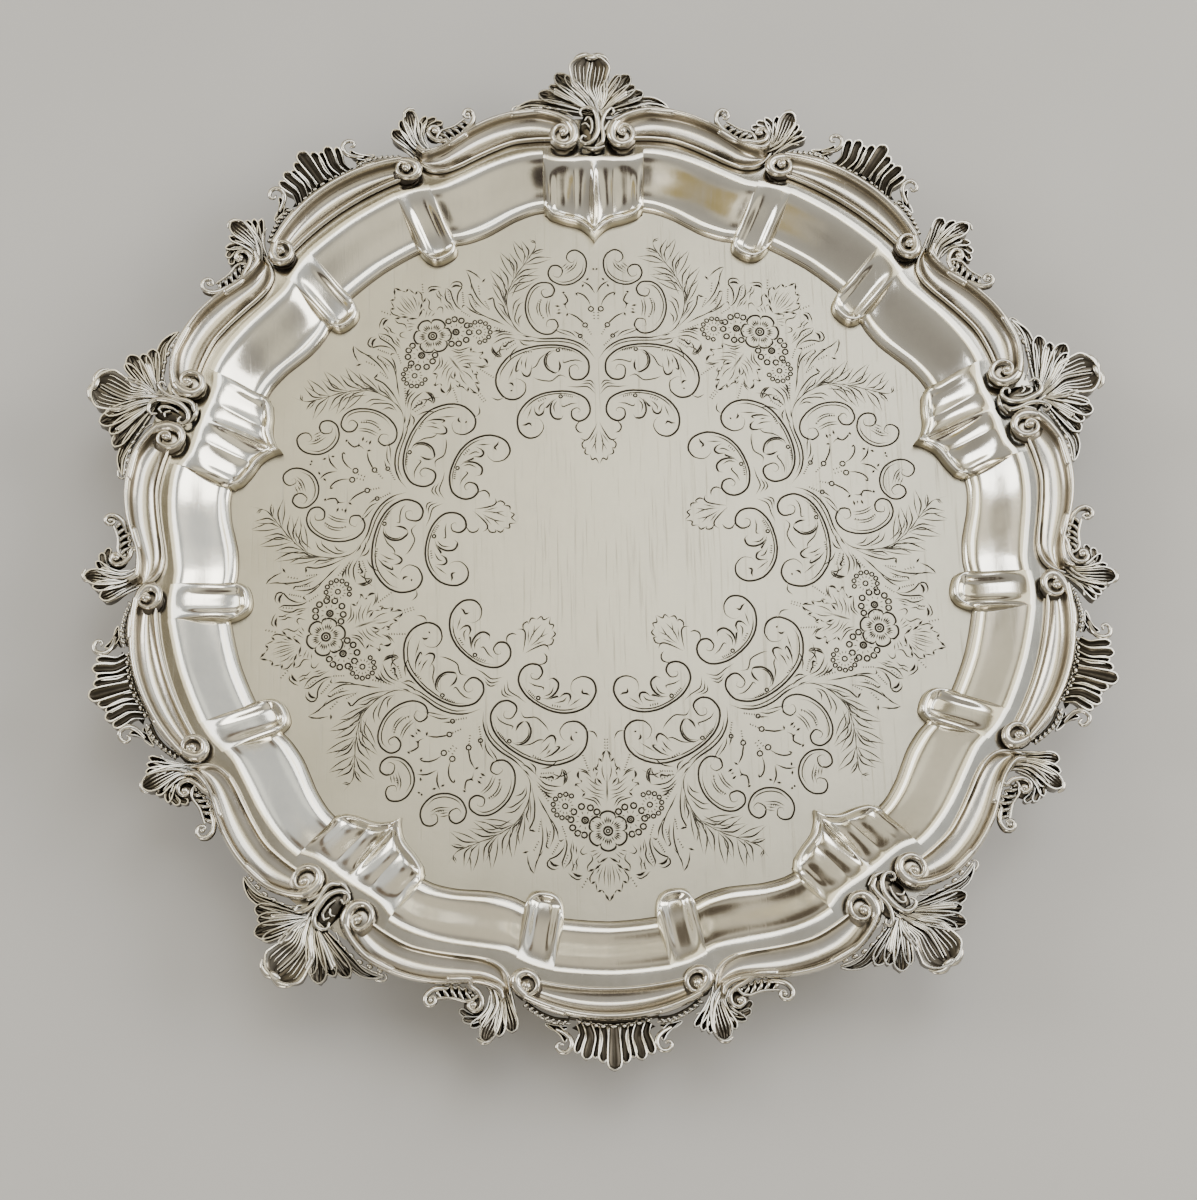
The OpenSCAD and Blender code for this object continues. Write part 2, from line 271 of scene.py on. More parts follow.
def silver(name, tint, dull, recess, roughness, scratch, mottle, stops=(0.04, 0.3, 0.62)):
    """Worked silver: bright on its crests, dark in its recesses and under its parts from painted shade together
    with tarnish, with fine scratches.
    """
    m, shader, add, plug = material(name)
    where = add("ShaderNodeTexCoord").outputs["Object"]
    relief = add("ShaderNodeAttribute", {"attribute_name": "relief"}).outputs["Fac"]
    cloud = add("ShaderNodeTexNoise", Vector=where, Scale=38.0, Detail=6.0, Roughness=0.62).outputs["Fac"]
    fine = add("ShaderNodeTexNoise", Vector=where, Scale=420.0, Detail=4.0, Roughness=0.6).outputs["Fac"]
    lines = []
    for angle, stretch in ((0.5, (900, 26, 60)), (1.9, (1100, 34, 60)), (2.8, (700, 20, 60))):
        turned = add("ShaderNodeMapping", Vector=where, Rotation=(0, 0, angle), Scale=stretch).outputs[0]
        lines.append(add("ShaderNodeTexNoise", Vector=turned, Scale=1.0, Detail=2.0).outputs["Fac"])
    scratches = lines[0]
    for other in lines[1:]:
        scratches = add("ShaderNodeMath", {"operation": "MAXIMUM"}, _0=scratches, _1=other).outputs[0]
    scratches = grey(add, scratches, [(0.62, 0.0), (0.78, 1.0)])
    shade = add("ShaderNodeMath", {"operation": "MULTIPLY_ADD"}, _0=cloud, _1=mottle, _2=relief).outputs[0]
    shade = add("ShaderNodeMath", {"operation": "SUBTRACT"}, _0=shade, _1=mottle * 0.5).outputs[0]
    # painted shade and tarnish: the mottled shade value picks the recess, flank or crest colour
    colour = ramp(add, shade, list(zip(stops, (recess, dull, tint))))
    tone = grey(add, cloud, [(0.3, 0.86), (0.62, 1.0)])
    colour = add("ShaderNodeMix", {"data_type": "RGBA", "blend_type": "MULTIPLY"}, _0=1.0, _6=colour,
                 _7=tone).outputs[2]
    plug(colour, "Base Color")
    shader.inputs["Metallic"].default_value = 1.0
    rough = grey(add, shade, [(0.05, min(1, roughness + 0.32)), (0.5, roughness)])
    rough = add("ShaderNodeMath", {"operation": "MULTIPLY_ADD"}, _0=cloud, _1=0.10, _2=rough).outputs[0]
    rough = add("ShaderNodeMath", {"operation": "MULTIPLY_ADD"}, _0=scratches, _1=scratch * 0.16,
                _2=rough).outputs[0]
    rough = add("ShaderNodeMath", {"operation": "SUBTRACT"}, _0=rough, _1=0.05).outputs[0]
    plug(rough, "Roughness")
    height = add("ShaderNodeMath", {"operation": "MULTIPLY_ADD"}, _0=scratches, _1=-scratch * 0.6,
                 _2=fine).outputs[0]
    bump = add("ShaderNodeBump", Strength=0.10 + 0.14 * scratch, Distance=0.00012, Height=height)
    plug(bump.outputs[0], "Normal")
    return m


# tint of the crests, tone of the flanks, dark of the recesses and undersides (painted shade and tarnish),
# roughness, scratches, mottling
MATERIALS = {
    # painted shade: the plate's tint is much darker than the bouge's, though both are one sheet of silver
    "plate": silver("satin silver", (0.57, 0.535, 0.425), (0.28, 0.257, 0.20), (0.05, 0.042, 0.034),
                    0.34, 1.0, 0.10, (0.1, 0.4, 0.56)),
    "bouge": silver("polished silver", (0.94, 0.90, 0.79), (0.60, 0.555, 0.45), (0.14, 0.115, 0.09),
                    0.15, 0.45, 0.22),
    "mould": silver("drawn silver", (0.79, 0.74, 0.64), (0.34, 0.30, 0.235), (0.035, 0.027, 0.02),
                    0.20, 0.5, 0.24, (0.12, 0.36, 0.66)),
    "cast": silver("cast silver", (0.80, 0.76, 0.665), (0.18, 0.157, 0.12), (0.014, 0.011, 0.008),
                   0.20, 0.25, 0.24, (0.18, 0.54, 0.88)),
    "foot": silver("foot silver", (0.78, 0.75, 0.68), (0.36, 0.32, 0.26), (0.03, 0.023, 0.017),
                   0.26, 0.35, 0.20),
}


WELD, SLIVER = 2e-6, 1e-7     # metres


def to_mesh(name, verts, faces, relief, sharp=50, smooth=True):
    mesh = bpy.data.meshes.new(name)
    v = np.array(verts, float) * U
    v[:, 2] += PLATE_Z
    mesh.from_pydata(v.tolist(), [], [list(f) for f in faces])
    domain = "POINT" if len(relief) == len(verts) else "CORNER"
    mesh.attributes.new("relief", "FLOAT", domain).data.foreach_set("value", np.asarray(relief, np.float32))
    bm = bmesh.new()
    bm.from_mesh(mesh)
    bmesh.ops.remove_doubles(bm, verts=bm.verts, dist=WELD)
    bmesh.ops.dissolve_degenerate(bm, edges=bm.edges, dist=SLIVER)
    bmesh.ops.recalc_face_normals(bm, faces=bm.faces)
    for f in bm.faces:
        f.smooth = smooth
    bm.to_mesh(mesh)
    bm.free()
    if smooth:
        mesh.set_sharp_from_angle(angle=math.radians(sharp))
    else:
        mesh.shade_flat()
    return mesh


def place(base, mesh, kind, half_turn):
    """Five turned copies of a mesh, each standing for its CAD node; the first is at half_turn."""
    mesh.materials.append(MATERIALS[kind])
    for k in range(SECTORS):
        copy = mesh.copy()
        name = f"{base}_{k + 1}"
        obj = bpy.data.objects.new(name + "_cast", copy)
        bpy.context.scene.collection.objects.link(obj)
        copy.transform(Matrix.Rotation(math.radians(SECTOR * k + half_turn), 4, "Z"))
        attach(obj, "root")
        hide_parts(name)
    bpy.data.meshes.remove(mesh)


def finished(shape, name):
    return to_mesh(name, np.vstack(shape.verts), np.vstack(shape.faces).tolist(), np.concatenate(shape.relief))


# ---------------------------------------------------------------- the sheet tray

# Half a sector runs from a shell's axis to a comb's in four zones: shield, plain bouge, lug and
# plain bouge. Each has its span in degrees at the lip and at the shoulder, its number of columns,
# and its lines as (degrees, radius). The lug's lip is a formula.
SHIELD, LUG = 0, 2
ZONE_LIP = [0, 7.95, 23.3, 29.35, 36]
ZONE_SHOULDER = [0, 7.1, 23.9, 28.7, 36]
COLUMNS = [46, 26, 32, 10]
LIP_LINES = [[(0, 153.6), (0.9, 157.2), (2.6, 161.2), (5.2, 164), (6.9, 166.8), (7.8, 170.6)],
             [(8.1, 172.4), (10, 172.1), (13, 170.3), (15.5, 168.1), (18.2, 166.3), (21.2, 166.2),
              (23.2, 167.4)], None, [(29.5, 171.7), (32, 171.9), (36, 172.2)]]
SHOULDER_LINES = [[(0, 187.6), (4.5, 187.6), (7.0, 190.4)], [(7.1, 192.4), (9, 192.8), (12, 192.2),
        (15.2, 190.7), (18.5, 188.8), (22, 187.6), (23.9, 188.6)], [(23.9, 189.4), (26.3, 191.4),
        (28.7, 192.4)], [(28.7, 192.6), (36, 193)]]
SMOOTH_LIP = [curve(line, 80) if line else None for line in LIP_LINES]
SMOOTH_SHOULDER = [curve(line, 60) for line in SHOULDER_LINES]
FLANGE_EDGE = np.array([(0, 210), (5, 210), (8, 207), (12, 205), (16, 201), (19, 198.5), (22, 199), (25, 203),
                        (30, 206), (36, 207)])
# the bosses' sizes in pattern units, and how far the underside's slope stands out of the top's
SHIELD_HALF, LUG_WIDTH, BOSS_LENGTH, UNDER_OUT = 23.5, 16, 34, 0.9
# the lug's lip: the degrees of its tip, and the radius there and at its two sides
LUG_CENTRE, LUG_TIP, LUG_START, LUG_END = 26.3, 159.8, 167.4, 171.7
# places up the bouge, 0 at the lip to 1 at the shoulder, closest at its ends
BOUGE = np.concatenate([np.linspace(0, 0.16, 9), np.linspace(0.19, 0.9, 20), np.linspace(0.93, 1, 3)])
# rows below the lip, as (share of the foot's width, share of the lip's height, painted shade value): near black
# at the step's foot
FOOT_ROWS = [(1, 0, 0.08), (0.84, 0.06, 0.06), (0.7, 0.5, 0.46), (0.4, 0.84, 0.64)]
# rows past the shoulder, as (distance, drop, painted shade value): a little darker as they fall to the flange
SHOULDER_ROWS = [(0.8, 0.48, 0.56), (1.9, 0.38, 0.53), (3.2, 0.45, 0.52), (4.6, 0.75, 0.5)]


def ease(v, start, end):
    v = np.clip((v - start) / (end - start), 0, 1)
    return v * v * (3 - 2 * v)


def from_side(zone, x):
    """Distance in from the side of a boss."""
    return (1 - x) * SHIELD_HALF if zone == SHIELD else (0.5 - abs(x - 0.5)) * LUG_WIDTH


def boss(zone, x, t):
    """Height of a boss's raised rim and hollowed face over the plain bouge."""
    rim_width, rim_height = (6.0, 2.0) if zone == SHIELD else (5.4, 1.9)
    edge = 0.7 - np.logaddexp(-from_side(zone, x), -(t * BOSS_LENGTH + 0.4))
    rim = rim_height * np.sin(math.pi * np.clip(edge / rim_width, 0, 1) ** 0.7) * (1 - ease(t, 0.45, 1.0))
    face = ease(edge, rim_width * 0.4, rim_width * 1.3) * np.sin(math.pi * np.clip(0.1 + 0.9 * t, 0, 1)) ** 0.8
    if zone == LUG:
        return rim - 1.0 * face
    hollows = sum(math.sin(math.pi * min(1, max(0, (x - start) / 0.37))) for start in (0.03, 0.40))
    ridge = 1.4 * math.exp(-(x / 0.055) ** 2) * (1 - ease(t, 0.7, 1.0))
    return rim + ridge - 1.05 * face * hollows


def tray_column(zone, x):
    """Degrees, radius, height and painted shade value down one column of the tray's top face."""
    a_lip = ZONE_LIP[zone] + x * (ZONE_LIP[zone + 1] - ZONE_LIP[zone])
    a_sh = ZONE_SHOULDER[zone] + x * (ZONE_SHOULDER[zone + 1] - ZONE_SHOULDER[zone])
    if zone == LUG:
        far, side = (ZONE_LIP[3], LUG_END) if a_lip > LUG_CENTRE else (ZONE_LIP[2], LUG_START)
        q = abs(a_lip - LUG_CENTRE) / abs(far - LUG_CENTRE)
        r_lip = LUG_TIP + (side - LUG_TIP) * (1 - (1 - min(1, q) ** 2.6) ** 0.5)
    else:
        r_lip = np.interp(a_lip, *SMOOTH_LIP[zone].T)
    r_sh = np.interp(a_sh, *SMOOTH_SHOULDER[zone].T)
    boss_zone = zone in (SHIELD, LUG)
    crest = LIP + (0.5 if boss_zone else 0)
    foot_width, outline = 2.4, 0
    t = BOUGE
    z = crest + (SHOULDER - crest) * (0.5 * t**1.6 + 0.5 * ease(t, 0, 1))
    if boss_zone:
        z = z + boss(zone, x, t)
        foot_width -= ease(from_side(zone, x), 0, 5)
        outline = 0.6 * math.exp(-(from_side(zone, x) / 0.8) ** 2)
    # a bead at the lip, and the top rolled over at the shoulder
    z = z + 0.4 * np.exp(-((t * (r_sh - r_lip) - 1.3) / 1.3) ** 2)
    z = SHOULDER + 0.5 - 1.2 * np.logaddexp(0, (SHOULDER + 0.5 - z) / 1.2)
    # painted light and shade: brightest at the lip, a little brighter up the bouge, and darkened along each
    # boss's sides until near the shoulder
    face = (0.64 + 0.2 * np.exp(-t / 0.08) + 0.06 * t) * (1 - outline * (1 - ease(t, 0.8, 1)))
    rows = [(a_lip, r_lip - foot_width * out, z[0] * up, relief) for out, up, relief in FOOT_ROWS]
    rows += list(zip(a_lip + (a_sh - a_lip) * t, r_lip + t * (r_sh - r_lip), z, face))
    rows += [(a_sh, r_sh + out, SHOULDER - drop, relief) for out, drop, relief in SHOULDER_ROWS]
    rows += [(a_sh, max(np.interp(a_sh, *FLANGE_EDGE.T), r_sh + 6.5), FLANGE, 0.4)]
    return np.array(rows)


def tray_ring():
    """The bouge, bosses and flange all round, top face and underside, as one closed skin."""
    half = []
    for zone, count in enumerate(COLUMNS):
        for x in np.linspace(0, 1, count):
            if zone in (1, LUG):
                x = 0.5 - 0.5 * math.cos(math.pi * x)
            half.append(tray_column(zone, x))
    half = np.array(half)
    back = half[-2:0:-1].copy()
    back[..., 0] = SECTOR - back[..., 0]
    sector = np.concatenate([half, back])
    top = np.concatenate([sector + [SECTOR * k, 0, 0, 0] for k in range(SECTORS)])
    # the underside follows every second row of the top, back from the flange to the plate
    under = top[:, [len(BOUGE) + 4, *range(len(BOUGE) + 2, 0, -2), 0]].copy()
    under[..., 2] -= SHEET
    under[:, :1, 2] = FLANGE - SHEET
    under[:, 2:-2, 1] += UNDER_OUT
    under[..., 3] = 0.5
    skin = np.concatenate([top, under, top[:, :1]], 1)
    skin = np.concatenate([skin, skin[:1]])
    a = np.radians(skin[..., 0])
    pts = np.stack([skin[..., 1] * np.sin(a), skin[..., 1] * np.cos(a), skin[..., 2]], -1)
    shape = Shape()
    shape.grid(pts, skin[..., 3])
    return shape, pts[:-1, 0, :2]


# ---------------------------------------------------------------- engraving of the plate

WIDER = 1.25          # all cuts, against the widths given with them
CUT_DEPTH = 0.9       # of a cut's half width
# painted shade and tarnish in the cuts: the deeper a cut, the darker its colour, from SHALLOW to FULL
SHALLOW, FULL = 0.03, 0.16    # depths below which a cut doesn't show, and from which it is darkest
CUT_SHADE_AND_TARNISH, PLATE_SHADE_AND_TARNISH = 0.34, 0.62


class Engraving:
    """Tapered V-cuts on the plate, kept as centre points and half widths."""

    def __init__(self):
        self.cuts = []

    def cut(self, points, width=0.6):
        p = np.array(points, float)
        p = thinned(curve(p, 6 * len(p)), 0.08) if len(p) > 2 else np.array([p[0], p.mean(0), p[1]])
        s = np.linspace(0, 1, len(p))
        self.cuts.append((p, WIDER * width / 2 * np.clip(5 * np.minimum(s, 1 - s), 0, 1)))

    def many(self, width, *lines):
        """Cuts along several lines, each with its mirror image across the axis."""
        for line in lines:
            self.cut(line, width)
            self.cut(mirror(line), width)

    def ring(self, x, y, radius, width=0.6, n=8):
        a = np.linspace(0, 2 * math.pi, n + 1)
        p = np.array([x, y]) + radius * np.stack([np.cos(a), np.sin(a)], 1)
        for q in (p, mirror(p)) if x else (p,):
            self.cuts.append((q, np.full(n + 1, WIDER * width / 2)))

    def chain(self, start, end, count, size=0.75, width=0.5):
        """A row of short ticks across the way from start to end."""
        start, end = np.array(start, float), np.array(end, float)
        across = left_of(np.array([start, end]))[0] * size
        for k in range(count):
            at = start + (end - start) * k / max(count - 1, 1)
            self.many(width, [at - across, at + across + (end - start) * 0.05])

    def spray(self, stem, leaflets, width=0.6):
        """Long curved leaflets leaving a stem: (place along the stem, tip) each."""
        p = curve(stem, 60)
        self.many(0.5, stem)
        along = unit(np.gradient(p, axis=0))
        for place_on, tip in leaflets:
            i = int(place_on * (len(p) - 1))
            base, tip = p[i], np.array(tip, float)
            reach = np.linalg.norm(tip - base)
            way = unit(tip - base)
            out = np.array([-way[1], way[0]]) * (1 if np.cross(along[i], way) < 0 else -1)
            bend = base + along[i] * reach * 0.5
            upper = [base, 0.5 * bend + 0.5 * (base + way * reach * 0.5),
                     base + way * reach * 0.72 + out * reach * 0.10, tip]
            lower = [base + along[i] * 0.8 - out * 0.2, base + way * reach * 0.5 - out * reach * 0.05,
                     tip - way * 0.6 - out * 0.5]
            self.many(width, upper)
            self.many(0.42, lower)
            self.many(0.85, [base + way * reach * 0.8 + out * reach * 0.07, tip])

    def mesh(self, outline):
        """The plate's top face with every cut let into it."""
        points, n = [tuple(p) for p in outline], len(outline)
        edges = [(i, (i + 1) % n) for i in range(n)]
        middle, depths = [False] * n, [0.0] * n
        # three lines a cut: its two edges, and between them the middle that is let down
        for k in range(SECTORS):
            for p, half in self.cuts:
                p = turn(p, SECTOR * k)
                nrm = left_of(p)
                for side in (1, 0, -1):
                    first = len(points)
                    points += [tuple(q) for q in p + side * nrm * half[:, None]]
                    depths += list(half) if side == 0 else [0.0] * len(p)
                    edges += [(first + i, first + i + 1) for i in range(len(p) - 1)]
                    middle += [side == 0] * (len(p) - 1)
        flat_points = [Vector(p) for p in points]
        verts, out_edges, faces, same, old_edges, _ = delaunay_2d_cdt(flat_points, edges, [], 1, 1e-4, True)
        depth = np.zeros(len(verts))
        for i, olds in enumerate(same):
            depth[i] = max([depths[j] for j in olds], default=0)
        for (i, j), olds in zip(out_edges, old_edges):
            along = [o for o in olds if o < len(middle) and middle[o]]
            for v in (i, j):
                if along and not same[v]:
                    depth[v] = max(depth[v], max(depths[edges[o][0]] + depths[edges[o][1]] for o in along) / 2)
        top = [(v.x, v.y, -CUT_DEPTH * d) for v, d in zip(verts, depth)]
        # painted shade and tarnish: faces in a cut darken towards its deepest line, the plain plate keeps the
        # plate's value
        relief = []
        for face in faces:
            d = depth[list(face)]
            flat = d.max() <= SHALLOW
            cut = CUT_SHADE_AND_TARNISH - CUT_SHADE_AND_TARNISH * np.minimum(1, d / FULL)
            relief += [PLATE_SHADE_AND_TARNISH] * len(face) if flat else list(cut)
        return top, faces, relief


def thinned(p, tolerance):
    """The points of a line that its shape needs."""
    keep, stack = {0, len(p) - 1}, [(0, len(p) - 1)]
    while stack:
        a, b = stack.pop()
        if b - a < 2:
            continue
        d = unit(p[b] - p[a])
        off = np.abs((p[a + 1:b] - p[a]) @ np.array([-d[1], d[0]]))
        if np.linalg.norm(p[b] - p[a]) < 1e-6:
            off = np.linalg.norm(p[a + 1:b] - p[a], axis=1)
        i = int(np.argmax(off)) + a + 1
        if off[i - a - 1] > tolerance or b - a > 14:
            keep.add(i)
            stack += [(a, i), (i, b)]
    return p[sorted(keep)]


def engrave():
    e = Engraving()
    # ---- on a shell's axis: the outer big scroll, then the inner one
    e.many(0.8, [(10.9, 86.6), (8.6, 87.6), (10, 90), (12.9, 88.6), (12.6, 84), (10, 82.4), (6.4, 83.2),
                 (4, 86.8), (4.6, 92.7), (10.1, 97.8), (18.7, 100.1), (29.6, 99.5), (39.8, 95.7), (46.1, 88.1),
                 (47.2, 80.6), (43.6, 74.2), (38.2, 73), (34, 76.2), (33.7, 80.9), (37.2, 83.3), (40.2, 82.2)])
    e.many(0.5, [(6.6, 93.6), (11.6, 97.3), (19, 98.9), (29.2, 98.2), (38.8, 94.4), (44.6, 87.4), (45.6, 81)],
           [(14, 83.4), (17.5, 84.9), (21.1, 82.2), (24.4, 82.1), (28.1, 83), (29.8, 84)],
           [(38.6, 90.4), (39.9, 86.8), (41.6, 82.4)],
           [(6.4, 91.2), (9.3, 92.4), (12.5, 92.1), (15.6, 91.2), (15.9, 93)],
           [(20.4, 96.9), (23.2, 94.6), (23.6, 90.6), (21.4, 87.6)],
           [(22.2, 97.2), (26.4, 93.6), (28.6, 89.6), (31.2, 88.1)], [(32.4, 95), (33.4, 91), (33.2, 87.6)],
           [(35, 93.4), (35.4, 89.6)])
    e.many(0.8, [(18.7, 97.4), (22.6, 96.6), (24.6, 92.6), (23.4, 88.4), (19.8, 86), (18.2, 87)],
           [(17.9, 92.6), (17.3, 89.2), (18.3, 86.2)],
           [(30.4, 90.8), (31, 86.6), (32.2, 84.6), (34.2, 85), (35.6, 87.6)],
           [(34.7, 95.6), (37.2, 91.4), (37.9, 87.2), (36.2, 88.2)], [(39, 79.4), (39.9, 81), (41.6, 81.2)],
           [(39.4, 77.6), (40.8, 77.2)])
    e.chain((11.9, 97.2), (16, 98), 6)
    e.chain((30.6, 97), (34, 96.4), 4)
    e.ring(18.2, 97.6, 0.8)
    e.many(0.8, [(10.6, 65.9), (8.2, 66.8), (9.8, 68.4), (12.3, 66.9), (12, 63.4), (9, 61.7), (5.4, 63.4),
                 (3.7, 67.6), (5.6, 72.9), (11.6, 76.2), (19, 76.8), (27, 75.2), (33.2, 71.2), (37.2, 64.8),
                 (36.8, 57.6), (32.8, 53.8), (28, 54.6), (25.4, 58.8), (27, 62.8), (31, 63.8)])
    e.many(0.5, [(6.8, 72.6), (12.2, 75), (19.2, 75.6), (26.6, 74), (32.2, 70.2), (35.9, 64.4)],
           [(9.3, 70.8), (12.7, 70.4), (16.2, 69), (17, 70.2)], [(18.8, 72.2), (20.6, 69.4), (19.9, 65.6)],
           [(24.4, 71.8), (27.2, 69), (27.4, 66.4)], [(30.6, 69.8), (31.9, 66), (33, 63)])
    e.many(0.8, [(18.6, 73.6), (21.4, 71.2), (22.2, 66.8), (20.6, 63.4), (17.4, 63), (16, 65.2)],
           [(20.4, 73.2), (23.4, 69.2), (24.6, 68.6)],
           [(24.8, 69.2), (25.6, 66), (27.6, 64.9), (29.2, 66.4), (29.8, 69.6)],
           [(30.8, 59.4), (32, 61), (33.8, 60.2), (35.6, 60.1)])
    e.chain((11.9, 73.9), (15.6, 74.7), 5)
    e.chain((24.4, 73.4), (27.4, 72), 4)
    e.ring(17.3, 74.2, 0.8)
    # the stem over the big scroll, and its dashes
    e.many(0.7, [(0.5, 92.4), (4.3, 97.9), (10, 101.9), (17, 103.6), (25, 103.4), (31, 104.6), (38, 106.2)])
    e.many(0.5, [(4.6, 96), (9.6, 100.2), (17.6, 102), (27, 102), (35, 103.2)],
           [(11, 104.2), (17, 106.6), (21, 108.6)], [(9, 103.4), (12.4, 106.6), (18.4, 108.4)],
           [(1.4, 79.6), (3.4, 82), (7, 81.4)], [(1.2, 77.4), (4, 80.6), (8.4, 80)],
           [(0.9, 75), (4.6, 78.8), (9.6, 78.8), (14.4, 79.2)], [(40.6, 99), (46, 97.4), (48.4, 92.4)],
           [(43.6, 74), (46.6, 72.8), (49.6, 74.4)])
    # pendant leaf
    e.many(0.6, [(0.3, 61.2), (2.4, 56.8), (4.6, 53.2), (6.6, 52.2), (8.8, 53.6)],
           [(5.4, 53), (7.8, 50.6), (7.2, 48.2), (5.8, 48.8)], [(6, 48.6), (6.6, 45.8), (4.4, 44.8)],
           [(4.2, 45.4), (3.4, 42.6), (1.6, 43.2), (0.1, 40.2)],
           [(7, 63.4), (10.4, 59.4), (9.6, 56.6), (7.2, 55.8)])
    e.many(0.42, [(0.5, 57), (1.8, 51), (1.2, 45.4)], [(1.2, 56), (4.6, 50.6)], [(0.8, 52.6), (3.8, 47)])
    # the C-scrolls further out
    e.many(0.72, [(11, 145), (9.2, 144), (11.2, 142.5), (13.4, 144.8), (12.4, 147.8), (9.2, 149.1),
                  (5.4, 146.6), (4, 142), (5.4, 136.2), (9.8, 132.1), (15.6, 131), (20.6, 133.4), (22.2, 137.3),
                  (20.6, 140.8), (17.4, 141), (15.4, 138.4), (16.8, 135.2), (19.6, 135.7), (19.2, 138.2)],
           [(22.6, 127.2), (23.4, 129), (25.6, 127.8), (24.2, 124.8), (20.6, 125.6), (19.4, 129), (22, 132.1),
            (27.3, 131.8), (31.4, 127.6), (33.2, 120), (31.6, 112.4), (27.2, 106.9), (21.6, 105.8), (18, 109.2),
            (19.2, 113), (22.6, 112.8), (23.4, 109.8), (21, 109.4)])
    e.many(0.45, [(12.9, 142.6), (16, 139.6)], [(8.2, 143.4), (10, 139.8), (14.4, 136.4)],
           [(9.6, 142.8), (11.4, 140), (14.8, 137.6)], [(12, 141.6), (14.8, 138.8)],
           [(5.4, 143), (6.4, 137.4), (10.4, 133.6), (15.4, 132.4), (19.8, 134)],
           [(21.2, 123.9), (22.2, 119.1), (21.2, 113.9)], [(22.4, 124), (23.4, 119.1), (22.5, 113.6)],
           [(25.2, 124.6), (26.6, 120.2), (26.1, 116.4), (24.4, 113)],
           [(26.6, 124.2), (27.8, 119.4), (26.9, 114.8)],
           [(23.6, 130.8), (27.4, 130), (30.4, 126.2), (31.9, 120), (30.4, 113.4), (26.6, 108.6)])
    e.chain((25.8, 123.4), (26.6, 121.4), 3)
    e.chain((25.6, 115.4), (24.8, 114.2), 2)
    e.chain((11.2, 140.8), (12.6, 139.4), 3, 0.6)
    # the hooked leaves and dashes on the axis
    e.many(0.62, [(2.2, 119.4), (3.4, 122.7), (5.7, 125.6), (8.6, 126.8), (9, 125.4)],
           [(13.3, 116.5), (9.4, 114.6), (6.6, 112), (5.3, 110.4)], [(11.2, 107.6), (8.6, 105.8), (6.4, 103.4)],
           [(13.2, 117.6), (14.6, 120.6), (13.2, 122.8), (14.4, 125.8), (15.8, 126.6)],
           [(0.2, 126.2), (2.8, 130.6), (6.6, 133)], [(16.6, 118.4), (18.2, 117.8)])
    e.many(0.95, [(0.2, 138.6), (1.3, 139.5)], [(3, 134.6), (4.4, 133)], [(5.4, 131.4), (6.4, 129.6)],
           [(14.2, 127.2), (16, 127)], [(13.6, 121), (15.8, 121.2)], [(16, 116.6), (18.8, 116.4)],
           [(16.8, 120), (19.4, 120.2)], [(13.2, 116.8), (13.9, 114.6)], [(9.4, 127.2), (8.4, 125.2)],
           [(30.4, 104.4), (34.6, 105.2)])
    for x, y, r in ((2.3, 118.4, 1.2), (5.2, 110.2, 1.1), (7.6, 104.6, 0.9)):
        e.ring(x, y, r)
    for start, end, count in (((1, 116.6), (0.9, 113.6), 3), ((4.4, 108.8), (2.6, 105.6), 4),
                              ((6.8, 103.2), (3.6, 100), 5)):
        e.chain(start, end, count, 0.6)
    e.chain((38.6, 102.8), (43.6, 101.4), 5, 0.6)
    # the spray beside them
    e.spray([(30, 104.5), (35.8, 106.9), (39.7, 112.3), (41.7, 119.1), (41.8, 125.8), (39.6, 132.1),
             (36.5, 137.8), (32.8, 143), (30, 147.1), (27.9, 151.6), (28.2, 158.8)],
            [(0.90, (30.8, 155)), (0.80, (23.9, 149.7)), (0.70, (20, 145.3)), (0.57, (26.2, 139.8)),
             (0.52, (25.6, 135.9)), (0.43, (28.3, 133.6)), (0.75, (34.7, 154.6)), (0.70, (38.6, 154.6)),
             (0.60, (40.6, 148.3)), (0.56, (44.9, 148.6)), (0.46, (45.6, 141)), (0.42, (49.8, 139.6)),
             (0.33, (43.6, 131.2)), (0.31, (49, 132.8)), (0.22, (46.4, 122.4))])
    e.many(0.5, [(33.6, 122.6), (36.4, 120.6), (38.2, 113.6), (35.4, 109.2)],
           [(35, 125), (38.4, 121.6), (39.2, 115)], [(34.4, 116.4), (36.4, 113.6), (36, 110.4)],
           [(32, 135.4), (35.6, 133.6), (38.6, 129)], [(33.2, 132.4), (37, 130.4), (39.6, 124.8)])
    shell_cuts, e.cuts = e.cuts, []

    # ---- on a comb's axis: flower, berry clusters, leaves
    centre, berries, daisy = np.array([0, 130.5]), np.array([9.9, 125.6]), np.array([18.5, 119.2])
    petal = [(4.8, -2.9), (6.2, -3.5), (7.9, -2.6), (8.8, 0), (7.9, 2.6), (6.2, 3.5), (4.8, 2.9)]
    for k in range(6):
        a = math.radians(60 * k + 30)
        d, n = np.array([math.cos(a), math.sin(a)]), np.array([-math.sin(a), math.cos(a)])
        e.cut([centre + d * x + n * y for x, y in petal], 0.8)
        e.cut([centre + (d * 2.2 + n * 1.27), centre + (d * 4.8 + n * 2.8)], 0.5)
        for v, far in ((-1, 5.8), (-0.35, 6.6), (0.35, 6.6), (1, 5.8)):
            e.cut([centre + d * 3.0 + n * v * 0.7, centre + d * far + n * v * 1.6], 0.62)
    e.ring(*centre, 1.9, 0.8, 12)
    e.ring(*centre, 0.8, 0.6)
    for x, y in ((10.4, 132.1), (13.2, 131.3), (15.4, 128.8), (16.1, 125.2), (14.8, 121.8), (11.4, 119.5),
                 (7.5, 120.1), (4.7, 122)):
        e.ring(x, y, 1.3, 0.72)
    e.ring(*berries, 1.4, 0.85, 9)
    e.ring(*berries, 0.5, 0.5, 6)
    e.ring(*daisy, 1.15, 0.6)
    for k in range(13):
        a = math.radians(28 * k - 122)
        d = np.array([math.cos(a), math.sin(a)])
        if k < 9:
